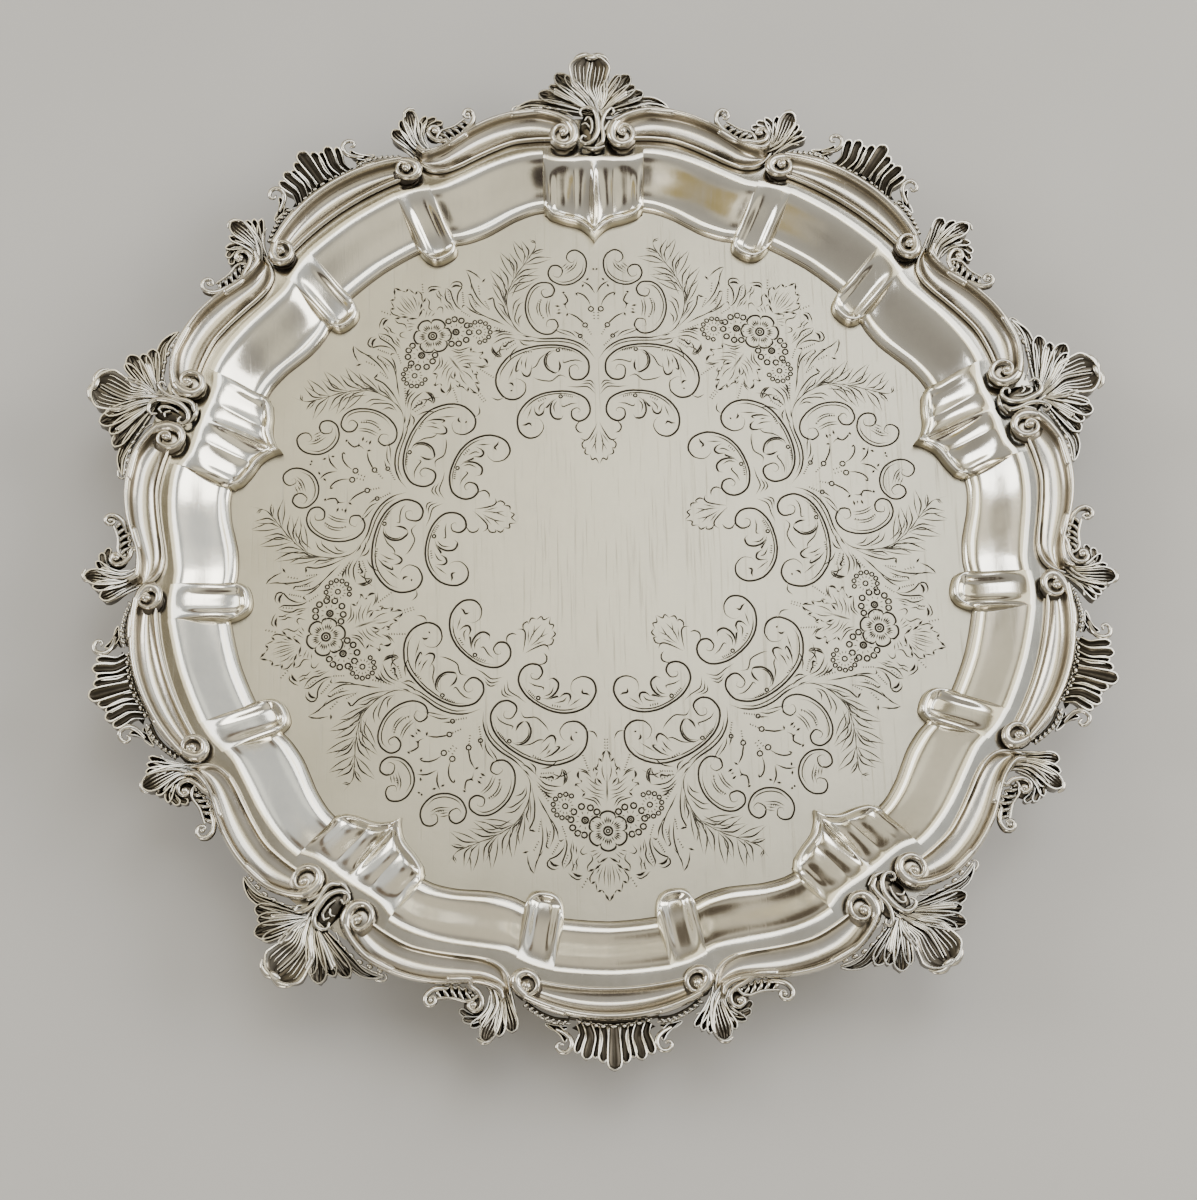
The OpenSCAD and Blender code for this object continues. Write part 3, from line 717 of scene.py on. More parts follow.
            e.ring(*(daisy + d * 5.3), 0.95, 0.62, 7)
        e.many(0.42, [daisy + d * 2.3, daisy + d * 3.9])
    for k in range(9):
        a = math.radians(40 * k + 10)
        d = np.array([math.cos(a), math.sin(a)])
        e.many(0.4, [berries + d * 2.6, berries + d * 4.4])
    # outward leaf
    e.many(0.95, [(0, 161.4), (2.1, 157.8)], [(3.1, 156.2), (5.3, 157.2)], [(5.8, 152.4), (7.9, 153.6)],
           [(6.2, 146.9), (9.2, 148.3)], [(0.1, 142), (4.6, 144.7)], [(3.2, 144.9), (6.4, 147.5)],
           [(11.4, 149.9), (13.7, 149.9), (15.9, 148.4)], [(21.4, 145.3), (24, 145), (25.9, 142.6)])
    e.many(0.5, [(2.1, 157.9), (3.2, 156.2)], [(5.3, 157.2), (5.6, 154.8), (6, 152.6)],
           [(7.9, 153.6), (8.4, 151), (7, 148.6), (6.2, 147)], [(9.2, 148.3), (9.1, 145.6), (7, 143), (8, 140)],
           [(4.6, 144.7), (4.7, 143)], [(9, 140), (11.2, 140.6), (12.1, 139.2), (10.2, 136.4)],
           [(11.6, 150.8), (13.6, 151.6), (16, 150.4), (18, 148.2)],
           [(14.4, 148.2), (13.8, 145.4), (14.2, 143.8), (13, 141.4)],
           [(16.4, 148.2), (15.4, 145.8), (15.9, 142.6)], [(14, 140.7), (14, 136.6)],
           [(15.2, 140.2), (15.2, 135)])
    e.many(0.38, [(0.4, 144.6), (0.5, 150), (0.3, 156.4)], [(1.2, 144.8), (2.2, 150.4), (2, 154.8)],
           [(2.4, 145.8), (4.2, 150), (4.6, 153.6)], [(3.6, 146.4), (5.8, 149.4)], [(2.6, 139.9), (6.4, 143.4)],
           [(3.8, 139.6), (7.4, 141.6)], [(5, 138.8), (8.2, 139.6)])
    # curled leaves either side
    e.many(0.6, [(19.6, 146.9), (17, 144), (16, 141.2), (16.4, 138.4), (15.4, 133.4)],
           [(19.6, 146.9), (20.2, 144), (18.8, 140.4), (18, 136), (18.8, 132.8)],
           [(21.2, 146.2), (24, 147), (26.6, 145.2), (25.9, 142.6), (22.4, 141), (19.6, 137.8), (18.7, 134)],
           [(25.7, 137.8), (24, 133.6), (23.6, 129.4), (24.8, 125.6), (26.4, 122.8)],
           [(25.7, 137.8), (27, 136.6), (26.4, 132), (27, 127.6)],
           [(21.6, 133.9), (22.1, 130.6), (23.7, 127), (25.6, 123.8), (28.4, 118.8), (30.6, 114.2)],
           [(19, 133.6), (20.6, 134.6), (21.6, 133.9)], [(28.2, 138.2), (30.9, 142.2)],
           [(32.4, 148.6), (31.6, 144.4), (29.4, 138.6), (28.4, 132), (29.2, 124)],
           [(32.4, 148.6), (34.6, 145.2), (35.4, 140)],
           [(31.6, 130.2), (34.2, 129.2), (32.2, 124.6), (31.9, 117), (33.4, 108)])
    e.many(0.9, [(31.4, 130.3), (34.2, 129.2)], [(32.4, 148.8), (34.8, 145.2)], [(34.6, 138.8), (37.4, 139.6)])
    ticks = [((9.4, 151.2), (11.6, 154.8), 4, 0.6), ((15.7, 147.4), (15, 145), 3, 0.4),
             ((19.2, 144.6), (17.8, 141), 4, 0.5), ((24.4, 140.2), (21.8, 135.8), 6, 0.6),
             ((26.6, 135.6), (25.2, 130.6), 6, 0.5), ((18.4, 132.6), (19.8, 128.4), 5, 0.5),
             ((32.4, 138.4), (30.4, 134.8), 4, 0.6), ((30.2, 130.2), (29.4, 126), 5, 0.5),
             ((25.8, 116.8), (29.6, 110.6), 7, 0.6), ((23.4, 104.2), (28.6, 104.4), 6, 0.5)]
    for start, end, count, size in ticks:
        e.chain(start, end, count, size)
    # inward leaf
    e.many(0.9, [(11.2, 115.3), (9.4, 113.2)], [(11.8, 111.2), (13.8, 109.7), (11.4, 109.1)],
           [(12.1, 107.4), (12.8, 105.4), (12.1, 103.5)], [(2, 110), (4.7, 106.6)],
           [(3.7, 103.7), (5.6, 101.9)], [(1.8, 99.8), (3.5, 97.8)], [(0.2, 94.3), (2.2, 97)])
    e.many(0.5, [(3.4, 120.4), (5.4, 117.4), (8.2, 116.2), (11.4, 115.4)],
           [(2.6, 119.8), (4.8, 116.2), (8, 115.2)], [(9.4, 113.2), (10.6, 112.6), (11.8, 111.3)],
           [(11.4, 109.1), (11.2, 108), (12.1, 107.4)], [(12.1, 103.5), (9.2, 104.3), (6.6, 106.8)],
           [(12.8, 102.2), (9.6, 103.4), (7.4, 105)], [(4.7, 106.6), (5.2, 108.6), (4, 110.4)],
           [(4.6, 106.4), (4.4, 104.8), (3.6, 103.7)], [(5.6, 101.9), (5.9, 104.2)],
           [(5.2, 102.2), (4, 101.6), (3.6, 98.4)], [(3.5, 97.8), (3.8, 100.2)],
           [(1.8, 99.8), (1.4, 97.2), (0.4, 94.4)])
    e.many(0.38, [(0.2, 117.6), (0.2, 112), (0.2, 104)], [(1, 112.4), (4.6, 112), (8.6, 108.4)],
           [(1.2, 114.4), (5.8, 113.4), (9.6, 110.6)], [(0.6, 108.8), (2, 104.4), (1.8, 100.6)],
           [(1, 116.6), (4, 115), (7.4, 113.8)], [(2, 111), (6.2, 108.8), (9.6, 105.8)])
    e.chain((7.8, 103.6), (10.2, 96.9), 7, 0.6)
    e.chain((0.6, 93.6), (0.6, 89.6), 4, 0.5)
    # hooked leaf towards the stem
    e.many(0.9, [(23.4, 107.6), (24, 106), (26.8, 106.3), (29.9, 105.9)],
           [(19.2, 109.6), (18.4, 107.4), (18.5, 105.2), (19.7, 102.6)],
           [(23.8, 115.4), (26.4, 114.2), (30.2, 110.2)])
    e.many(0.55, [(29.9, 106), (34.6, 101.4), (37.4, 100.2)],
           [(19.7, 110.3), (17.6, 107.6), (18, 104), (19.9, 102.5)],
           [(19.9, 102.6), (20, 104.9), (21.6, 106.6), (23.4, 107.6)],
           [(19.7, 110.3), (23.4, 110.2), (27.2, 109.1), (30.6, 105.8)],
           [(22.4, 112.4), (27, 111.6), (31, 107.8)], [(23.2, 113.8), (27.6, 112.6), (31.2, 109)],
           [(21, 98.2), (24.6, 101.4), (29.4, 102.4)], [(31.2, 104.6), (31.4, 101.6), (34, 99.2)])
    e.cuts = shell_cuts + [(turn(p, SECTOR / 2), half) for p, half in e.cuts]
    return e


# ---------------------------------------------------------------- cast border

# The border's moulding from edge to edge, as (offset, height, painted shade value). The beads' offsets are
# counted in from their own edge, the hollow's are shares of its width. The values paint shade: dark where the
# moulding drops to the flange and down the outer bead's outer side, bright on the bead tops.
INNER_BEAD = [(0.9, FLANGE - 0.4, 0), (0.35, 16.7, 0.15), (0, 17.9, 0.7), (0.12, 18.7, 0.95), (0.6, 19.3, 1),
              (1.2, 19.35, 0.9), (1.75, 18.9, 0.6), (2.1, 18.2, 0.45)]
HOLLOW = [(0.12, 17.75, 0.55), (0.3, 17.25, 0.68), (0.5, 17.05, 0.72), (0.68, 17.2, 0.7), (0.84, 17.7, 0.62),
          (0.96, 18.5, 0.5)]
OUTER_BEAD = [(4.5, 18.8, 0.4), (4.15, 19.3, 0.32), (3.8, 20.1, 0.24), (3.5, 21.3, 0.3), (3.15, 22.6, 0.6),
              (2.7, BEAD_TOP - 0.35, 0.9), (1.9, BEAD_TOP, 1), (1.1, BEAD_TOP - 0.2, 1),
              (0.45, BEAD_TOP - 1, 0.9), (0.05, BEAD_TOP - 2.2, 0.75), (0, BEAD_TOP - 3.4, 0.55),
              (0.35, BEAD_TOP - 4.4, 0.3), (0.9, BEAD_TOP - 5.4, 0.1), (1.1, FLANGE - 0.4, 0)]
INNER_WIDTH, OUTER_WIDTH = 2.1, 4.5


def band(shape, inner, outer, n=60):
    """The border's moulding between two edges: a thin inner bead, a hollow, and a round outer bead."""
    a, b = curve(inner, n), curve(outer, n)
    across = unit(b - a)
    width = np.linalg.norm(b - a, axis=1)[:, None]
    near, hollow, far = (np.array(part).T for part in (INNER_BEAD, HOLLOW, OUTER_BEAD))
    inside = np.maximum(width - INNER_WIDTH - OUTER_WIDTH, 0.4)
    fit = np.minimum(1, (width - 0.6) / (INNER_WIDTH + OUTER_WIDTH))
    w = np.concatenate([near[0] * fit, INNER_WIDTH * fit + inside * hollow[0], width - far[0] * fit], 1)
    _, z, relief = np.concatenate([near, hollow, far], 1)
    xy = a[:, None] + across[:, None] * w[..., None]
    shape.rings(np.concatenate([xy, (z + 0 * w)[..., None]], -1), relief[None])


def volute(shape, path, radius, z, button, boss_radius, n=76, sides=12):
    """A bead wound up into an eye."""
    shape.tube(curve(path, n), radius, z, sides=sides)
    shape.ball((*button, z[-1] - 0.2), boss_radius, n=11)


SCROLL_INNER = [(19.4, 197.4), (28, 197.2), (38, 195.8), (47, 192.3), (56, 187.8), (63.5, 183.8), (70, 181.3),
                (76, 181.2), (81, 183.8), (84.3, 188.2)]
SCROLL_OUTER = [(9.6, 206.6), (16, 210), (25, 212.2), (35, 211.5), (45, 209), (55, 204.4), (63, 199),
                (69, 194.6), (74.6, 192.2), (79.2, 191.6), (82.6, 193.4)]
BEAD_PATH = [(38, 209.2), (25, 210.4), (17, 208.7), (11.4, 205.4), (8.8, 200.6), (9.4, 195.8), (12.9, 193.4),
             (17, 194.6), (18.9, 198.4), (17.9, 202.2), (14.9, 203.8), (12.3, 202), (12.4, 199.4),
             (14.4, 198.6)]
BEAD_RADIUS = [1.7, 1.65, 1.5, 1.25, 1.3, 2, 2.75, 2.45, 1.75, 1.35, 1.1, 0.95, 0.8, 0.7]
BEAD_Z = [22.3, 22.3, 22.3, 22.2, 21.9, 21.2, 20.7, 20.9, 21.2, 21.4, 21.5, 21.5, 21.4, 21.2]


def scroll(far_end, far_button):
    shape = Shape()
    band(shape, SCROLL_INNER, SCROLL_OUTER, 84)
    volute(shape, BEAD_PATH, BEAD_RADIUS, BEAD_Z, (14.2, 200.4), (1.7, 2.3, 2.1))
    # a low, dark pad under the volute: painted shadow beneath it
    shape.ball((14.1, 200.2, 17.2), (7, 7.6, 2), relief=0.5, n=8)
    path = [(60.5, 198.4), (67.2, 193.9)] + [tuple(p) for p in turn(far_end, SECTOR / 2)]
    button = tuple(turn(far_button, SECTOR / 2))
    volute(shape, path, [1.75, 1.7, 1.5, 1.25, 1.1, 1.1, 1.1, 1.05, 0.95, 0.8, 0.7],
           [22.3, 22.3, 22.2, 22, 21.9, 21.9, 21.9, 21.8, 21.6, 21.4], button, (1.5, 1.7, 1.6), 60, 10)
    # a low, dark pad under the far volute: painted shadow beneath it
    shape.ball((*button, 17.2), (4.4, 4.6, 2.2), relief=0.25, n=8)
    return shape


def bow():
    shape = Shape()

    def arc(r, cy, half):
        return [(x, cy + math.sqrt(r * r - x * x)) for x in np.linspace(-half, half, 15)]

    band(shape, arc(132, 68, 30.5), arc(80.5, 133.8, 37.6), 72)
    path = [(-20, 209.9), (-28.6, 207.2), (-34.8, 203.6), (-38.9, 200), (-40.2, 196.6), (-38.6, 193.8),
            (-35.2, 193.2), (-32, 195.2), (-31, 198.6), (-32.6, 201.5), (-35.4, 202.2), (-37.4, 200.2),
            (-36.9, 197.8), (-35.2, 197.2)]
    for flip in (1, -1):
        p = np.array(path) * [flip, 1] + [0.3, 0.5]
        volute(shape, p, [1.7, 1.65, 1.45, 1.25, 1.35, 2.1, 2.6, 2.2, 1.6, 1.25, 1.05, 0.9, 0.75, 0.7],
               [22.3, 22.3, 22.2, 22.1, 21.8, 21.1, 20.7, 20.9, 21.2, 21.4, 21.5, 21.4, 21.3, 21.2],
               (-35.4 * flip + 0.3, 199.4), (1.8, 2.3, 2.1))
        # a low, dark pad under the volute: painted shadow beneath it
        shape.ball((-35.5 * flip, 199, 17.2), (6.4, 6.6, 2), relief=0.25, n=8)
    return shape


def shell():
    s = Shape()
    root = (2.2, 211)
    # tails, side lobes, then the middle lobe over them
    lobes = [(([(-9, 213.6), (-20, 216), (-29, 217), (-35.2, 214.6), (-37, 213.2)],
               [0.9, 1.6, 2, 2.1, 1.3, 0.4]),
              ([(10, 213.4), (19, 215.8), (27, 217.6), (33.4, 215.8), (36.6, 213)],
               [0.9, 1.5, 1.9, 2.2, 1.5, 0.4]),
              [2.4, 2.9, 3, 2.7, 2.3], (-0.4, 0.3)),
             (([(-8, 215), (-17, 218.6), (-25.6, 221.6)], [0.9, 1.9, 2.9, 3.5]),
              ([(9.6, 214.6), (17.4, 218.2), (24.6, 221.4)], [0.9, 1.8, 2.8, 3.4]),
              [2.8, 3.7, 4, 3.8], (-0.5, 0, 0.5)),
             (([(-6, 216.4), (-14, 221.2), (-20.4, 225)], [0.9, 1.8, 2.6, 2.7]),
              ([(8.8, 216), (15.4, 220.4), (20.6, 224.6)], [0.9, 1.8, 2.6, 2.7]),
              [3, 4.3, 4.9, 4.7], (-0.4, 0.4)),
             (([(-4.4, 217.6), (-11.6, 225), (-17.2, 231)], [0.9, 2.2, 3.4, 3.8]),
              ([(7.6, 217.4), (13.2, 224.2), (17.9, 230)], [0.9, 2.1, 3.3, 3.7]),
              [3, 4.7, 5.5, 5.4], (-0.55, 0, 0.55)),
             (([(-2.6, 218), (-8.8, 225), (-12.4, 230.2)], [0.9, 1.7, 2.2, 2.2]),
              ([(6.2, 218), (10.4, 225), (13.4, 230.2)], [0.9, 1.6, 2, 2.1]),
              [3.2, 4.9, 5.8, 5.6], (-0.4, 0.4))]
    # each side lobe is given on the left, on the right, then as the heights and ribs both share
    for side in (0, 1):
        for *paths, z, ribs in lobes:
            path, half = paths[side]
            s.petal([root] + path, half, z, rim=0.5, ribs=ribs, flutes=len(ribs) + 1, dish=1.7)
    s.petal([(2.8, 211.4), (1.6, 217), (-1.2, 223), (-1.1, 230), (-0.6, 236.5), (-0.4, 240)],
            [1.3, 3, 6.2, 8.4, 9.9, 8.6], [3.6, 5, 5.6, 5.8, 6.6, 7], rim=0.62, dish=1.7,
            ribs=(-0.72, -0.5, -0.3, 0.3, 0.5, 0.72), flutes=8, n=24, blunt=0.3)
    for x in (-0.7, 0.7):
        s.rod([(2.9 + x * 0.3, 210.8), (1.2 + x * 0.5, 216.4), (-1.8 + x * 0.9, 223), (-1.5 + x, 229.6),
               (-0.2 + x, 236)], 22, [0.6, 0.7, 0.65, 0.55, 0.4], [4.3, 5.9, 6.2, 6.2, 6.8])
        s.rod([(1.2 + x * 0.3, 211.6), (-3.4 + x * 0.8, 218.6), (-8.2 + x, 224), (-9.3 + x, 228.8)], 16,
              [0.5, 0.6, 0.65, 0.5], [4.4, 6.2, 6.7, 6.4])
        s.rod([(4.2 + x * 0.3, 212.6), (6.2 + x * 0.8, 219), (6.6 + x, 226.6)], 12, [0.5, 0.62, 0.5],
              [4.4, 6.2, 6.4])
        s.rod([(-1.6, 212.6 + x * 0.3), (-9.6, 217 + x * 0.8), (-17.4, 222 + x)], 12, [0.55, 0.75, 0.85],
              [4, 5.3, 5.4])
        s.rod([(5.4, 212.4 + x * 0.3), (11.2, 216.2 + x * 0.8), (16.2, 220.2 + x)], 10, [0.55, 0.75, 0.85],
              [4, 5.3, 5.4])
    # the rolled tip folded over the middle lobe
    s.rod([(-8.8, 236.6), (-6.6, 239.2), (-3, 240.4), (0.2, 239.6), (3.4, 240.2), (6.8, 238.8), (8.4, 236.4)],
          26, [0.55, 1.15, 1.6, 1.35, 1.5, 1.1, 0.5], [6.6, 6.9, 6.6, 6.6, 6.6, 6.9, 6.6], sides=10, tall=0.8)
    s.ball((0.2, 238.9, FLANGE + 6.7), (3.6, 1.7, 1.2), relief=0.9)
    s.rod([(-35, 216), (-37.6, 214.8), (-38.2, 212.8), (-36.8, 212)], 10, [0.6, 0.5, 0.4], 2.6)
    # beads along the tails, and a line over them
    for flip, xs in ((-1, (-34, -29.5, -25, -20.6, -16.4, -12.6)), (1, (33.4, 29, 24.6, 20.2, 16.2, 12.4))):
        s.beads([(x, 211.0 + 2.9 * math.exp(-((abs(x) - 23) / 11) ** 2)) for x in xs],
                [1, 1.15, 1.1, 0.95, 0.8], 19.6)
        over = [(9.4, 209.6), (14, 212.4), (20, 214.3), (28, 214.6), (36, 212.8)]
        s.tube(curve([(x * flip, y) for x, y in over], 20), 0.45, 18.8)
    # crook and hooked stem between the volutes
    crook = [(-5.2, 208.4), (-5.9, 210.6), (-4.2, 212.2), (-1.2, 212.4), (1.3, 210.2), (2.5, 205), (2.2, 199.6),
             (-0.2, 195.4), (-3.6, 194), (-5.9, 195.8), (-5, 198.2), (-3.4, 197.6)]
    s.rod(crook, 52, [0.6, 0.8, 1, 1.2, 1.35, 1.4, 1.3, 1.25, 1.15, 0.9, 0.75, 0.6],
          [5.6, 5.9, 6, 6, 5.8, 5.6, 5.2, 4.9, 4.8, 4.8], sides=10)
    s.rod([(-3.6, 206.6), (-2.4, 208.2), (-0.6, 207), (-0.2, 203), (-1.2, 199.4)], 18,
          [0.4, 0.8, 0.9, 0.7, 0.4], 4.6)
    s.rod([(-5, 204.6), (-3.2, 205.2), (-1.8, 203.4)], 8, [0.35, 0.65, 0.5], 4.2)
    stem = [(1.6, 193), (4.4, 195), (4.9, 199), (4.4, 203.6), (5.2, 207.6), (7.2, 211), (9.3, 212.3),
            (10.2, 210.4), (9, 209.2)]
    s.rod(stem, 40, [0.9, 1.2, 1.15, 1.05, 1.1, 1.1, 0.95, 0.75, 0.5], [4.4, 4.8, 5.2, 5.4, 5.6, 5.8, 5.6, 5.2],
          sides=10)
    s.rod([(4.8, 200), (6.6, 203.6), (8.2, 205.6), (8.6, 203.8), (7.6, 203)], 16, [0.8, 0.85, 0.75, 0.5], 5)
    s.rod([(3.2, 212.4), (4.4, 208.6), (3.6, 204.4)], 10, [0.7, 0.8, 0.4], 4.6)
    s.rod([(-4, 193.2), (0.6, 192), (5.2, 193.4)], 10, [0.6, 1.3, 0.5], 3.4)
    # a low, dark pan under the crook and stem: painted shade beneath them
    s.ball((1, 203, FLANGE + 0.4), (7.4, 11.5, 2), relief=0.5)
    return s


def comb():
    s = Shape()
    lobes = [(0, 0, 234.6, 2.9, 2.1, 7), (-4.7, -4.3, 231.7, 1.9, 1.5, 6.2), (4.7, 4.3, 231.3, 1.9, 1.5, 6.2),
             (-8.2, -7.4, 229.4, 1.55, 1.3, 5.4), (8.2, 7.4, 229.4, 1.55, 1.3, 5.4),
             (-11.7, -10.6, 230.4, 2.15, 1.7, 6), (11.9, 10.8, 229.9, 2.15, 1.7, 6),
             (-15.8, -14.4, 228.2, 1.8, 1.3, 5.4), (15.7, 14.3, 227.2, 1.5, 1.1, 5.2)]
    for top, foot, y, half, foot_half, z in lobes:
        base = 217.2 - 0.011 * foot * foot
        lean = math.copysign(0.85, -top) if abs(top) > 6 else 0
        path = [(foot, base), (foot * 0.97 + lean, base + 0.33 * (y - base)),
                (top * 0.97 + lean, base + 0.66 * (y - base)), (top, y)]
        s.petal(path, [foot_half, (half + foot_half) / 2, half, half], [z - 3, z - 1.6, z - 0.6, z], rim=0.56,
                dish=1.5, n=16, blunt=0.22, shade=0.26)
        s.ball((foot, base - 0.7, 18.6), (foot_half * 0.8, 1, 1.3))
        s.beads([(foot - foot_half * 0.7, base - 1.6), (foot + foot_half * 0.7, base - 1.6)], 0.55, 18.2)
    # a low, dark rod along the lobes' feet: painted shade and tarnish at their roots
    s.tube([(x, 214.2 - x * x / 155) for x in np.linspace(-18, 18, 30)], 1, 17.3, relief=0.35)
    for flip in (-1, 1):
        # one of the two hooks beside the lobes, and the beads that trail away from it
        def flip_all(points):
            return [(x * flip, y) for x, y in points]

        hook = flip_all([(23.6, 217.2), (20.2, 219), (18, 221.4), (17.7, 224.2), (19.4, 226.6), (22.2, 226.6),
                         (23.9, 224.6), (22.8, 222.9), (21.4, 223.6)])
        s.rod(hook, 34, [0.7, 1, 1.15, 1.15, 1.1, 1.05, 1, 0.8, 0.6], [2.6, 3.6, 4.6, 5.4, 5.6, 5.4, 5.2, 5],
              sides=10)
        s.petal(flip_all([(27, 214.6), (23.4, 216.8), (20.8, 219.6), (20.3, 222.6)]), [0.7, 1.3, 1.3, 0.9],
                [1.6, 2.4, 3.2, 3.6], rim=0.35)
        s.petal(flip_all([(19.4, 216.2), (24, 216.6), (28.6, 214.6)]), [0.5, 1.2, 0.5], [1.6, 2.1, 1.8],
                rim=0.4)
        trail = curve(flip_all([(20.5, 214.4), (25.5, 213.4), (31, 210.7), (36.2, 207)]), 8)
        for (x, y), (dx, dy) in zip(trail, np.gradient(trail, axis=0)):
            s.ball((x, y, 18.9), (1.55, 0.8, 1.4), angle=math.degrees(math.atan2(dy, dx)) + 55 * flip, n=8)
        s.tube(curve(flip_all([(18.4, 214.8), (24, 214.4), (30, 212), (35.6, 208.4)]), 20), 0.5, 18.2)
        # a low, dark rod beside the bead trail: painted shade and tarnish under the beads
        s.tube(curve(flip_all([(19, 213.2), (25, 212.3), (31, 209.6), (36, 206)]), 20), 0.75, 17.4, relief=0.4)
    # a low, dark bar under the lobes' feet: painted shade and tarnish at their roots
    s.ball((0, 216.4, FLANGE + 0.2), (17.5, 2.4, 1.3), relief=0.36, n=9)
    return s


# The two leaves beside a comb are separate patterns; both are given on the comb's left. Each lobe
# has its middle line, half widths, heights above the flange and number of flutes.
LEAVES = {
    "left": {
        "lobes": [
            ([(-48.4, 199.8), (-45.2, 205.5), (-46.4, 212), (-50.8, 218.6)],
             [0.8, 1.4, 1.9, 2], [2.2, 3.6, 5, 5.6], 2),
            ([(-49.6, 199.2), (-46.2, 204.4), (-48, 211), (-52.2, 214), (-55.4, 215)],
             [0.8, 1.3, 1.7, 1.8, 1.6], [2, 3.2, 4.2, 4.6, 4.8], 3),
            ([(-49.6, 212), (-53.4, 212.6), (-57.2, 210.9)], [0.8, 1.4, 1.5], [3.2, 3.9, 4], 1),
            ([(-53.2, 211), (-55.8, 209.4), (-57.5, 207.2)], [0.8, 1.3, 1.3], [3, 3.5, 3.6], 1),
            ([(-42.8, 203), (-41.5, 210), (-40.4, 216), (-39.7, 220.4)],
             [0.7, 1.3, 1.7, 1.6], [2.2, 4, 5.6, 6.2], 2),
            ([(-42.3, 203), (-40.4, 209.8), (-38, 215.6), (-36.5, 219.2)],
             [0.7, 1.2, 1.6, 1.5], [2.2, 3.8, 5.2, 5.8], 2),
            ([(-41.8, 203.4), (-39.2, 209.6), (-35.9, 214.6), (-33.4, 217.3)],
             [0.7, 1.2, 1.5, 1.4], [2.2, 3.6, 4.8, 5.2], 2),
            ([(-46.8, 199.8), (-43.2, 206.4), (-43.6, 213), (-45.2, 220), (-45.7, 223.6)],
             [0.9, 1.8, 3.1, 4.1, 3.6], [2.6, 4.6, 6.2, 7.2, 7.4], 5),
        ],
        "ribs": [
            [(-49.8, 198.6), (-45, 203.4), (-42.2, 209), (-41.2, 215), (-41.5, 220.4)],
            [(-51.2, 198.8), (-46.4, 203), (-44.8, 207), (-46, 211.4), (-49.4, 215.4)],
            [(-52.2, 198.4), (-47.2, 201.8), (-45.6, 206), (-47.2, 210), (-51, 212.8)],
            [(-41.9, 200.5), (-40.4, 206.4), (-37.6, 210.8), (-34.4, 212.2)],
        ],
        "top": [(-50.8, 198.8), (-52.6, 203.2), (-56.2, 204.9), (-62.2, 203.2), (-68.8, 203)],
        "teeth": [(-53.8, 201.2), (-56.8, 199.7), (-59.5, 198.6), (-62.5, 198.2), (-65.5, 198), (-69.1, 198.6)],
        "ring": [(-65, 199.2), (-69.4, 199.2), (-73, 200.7), (-74.9, 203.5), (-74.2, 206.2), (-72.1, 207.1),
                 (-70, 206.2), (-69.5, 204.4), (-70.5, 203.2), (-71.6, 203.8)],
        "button": (-71.6, 204.8),
    },
    "right": {
        "lobes": [
            ([(-50, 199.4), (-49, 206), (-51.4, 211.4), (-55.4, 214.6)],
             [0.8, 1.4, 1.7, 1.7], [2, 3.4, 4.4, 4.8], 2),
            ([(-50.4, 202), (-51.2, 208.4), (-54.8, 213), (-59.4, 215.6)],
             [0.8, 1.4, 1.7, 1.6], [2, 3.2, 4.2, 4.6], 2),
            ([(-55, 212), (-58.8, 212.8), (-62.6, 212.2)], [0.9, 1.4, 1.4], [3.2, 3.9, 4], 1),
            ([(-58.6, 211), (-61.4, 210.2), (-63.7, 208.4)], [0.8, 1.3, 1.2], [3, 3.5, 3.6], 1),
            ([(-45, 202), (-43.6, 209.4), (-42.4, 214.6), (-42.3, 218.2)],
             [0.8, 1.9, 2.8, 2.7], [2.4, 4.4, 5.8, 6.2], 4),
            ([(-48.6, 200), (-46.4, 206), (-46.6, 213), (-47.7, 220)],
             [0.8, 1.5, 2.2, 2.2], [2.4, 4.6, 6.2, 6.8], 3),
            ([(-50, 199.4), (-48, 206), (-49.8, 213), (-52.5, 219), (-53.4, 222.2)],
             [0.9, 1.7, 2.8, 3.5, 3.2], [2.6, 4.8, 6.4, 7.2, 7.4], 5),
        ],
        "ribs": [
            [(-53.6, 196.4), (-49.6, 200), (-48, 206), (-50, 211.4), (-53.8, 216)],
            [(-52.4, 197.4), (-47.4, 201), (-45.2, 207), (-45, 213), (-45.4, 218)],
            [(-54.8, 196.8), (-51.2, 200.4), (-50.6, 205.4), (-52.6, 209.8), (-56.2, 212.6)],
            [(-42.6, 200.5), (-41.6, 206.4), (-40.4, 211.8), (-39.7, 216)],
        ],
        "top": [(-55.6, 199.8), (-57, 203.6), (-61, 205.1), (-67, 203.6), (-73, 203.9)],
        "teeth": [(-58.6, 201.2), (-61.4, 199.3), (-64.3, 198.4), (-67.4, 198), (-70.6, 198.2), (-73.6, 199)],
        "ring": [(-69, 199.4), (-73.4, 199.6), (-76.3, 201), (-78.1, 203.4), (-77.6, 205.8), (-75.8, 206.6),
                 (-74, 205.6), (-73.8, 203.9), (-75, 202.9), (-76, 203.6)],
        "button": (-75.8, 204.5),
    },
}


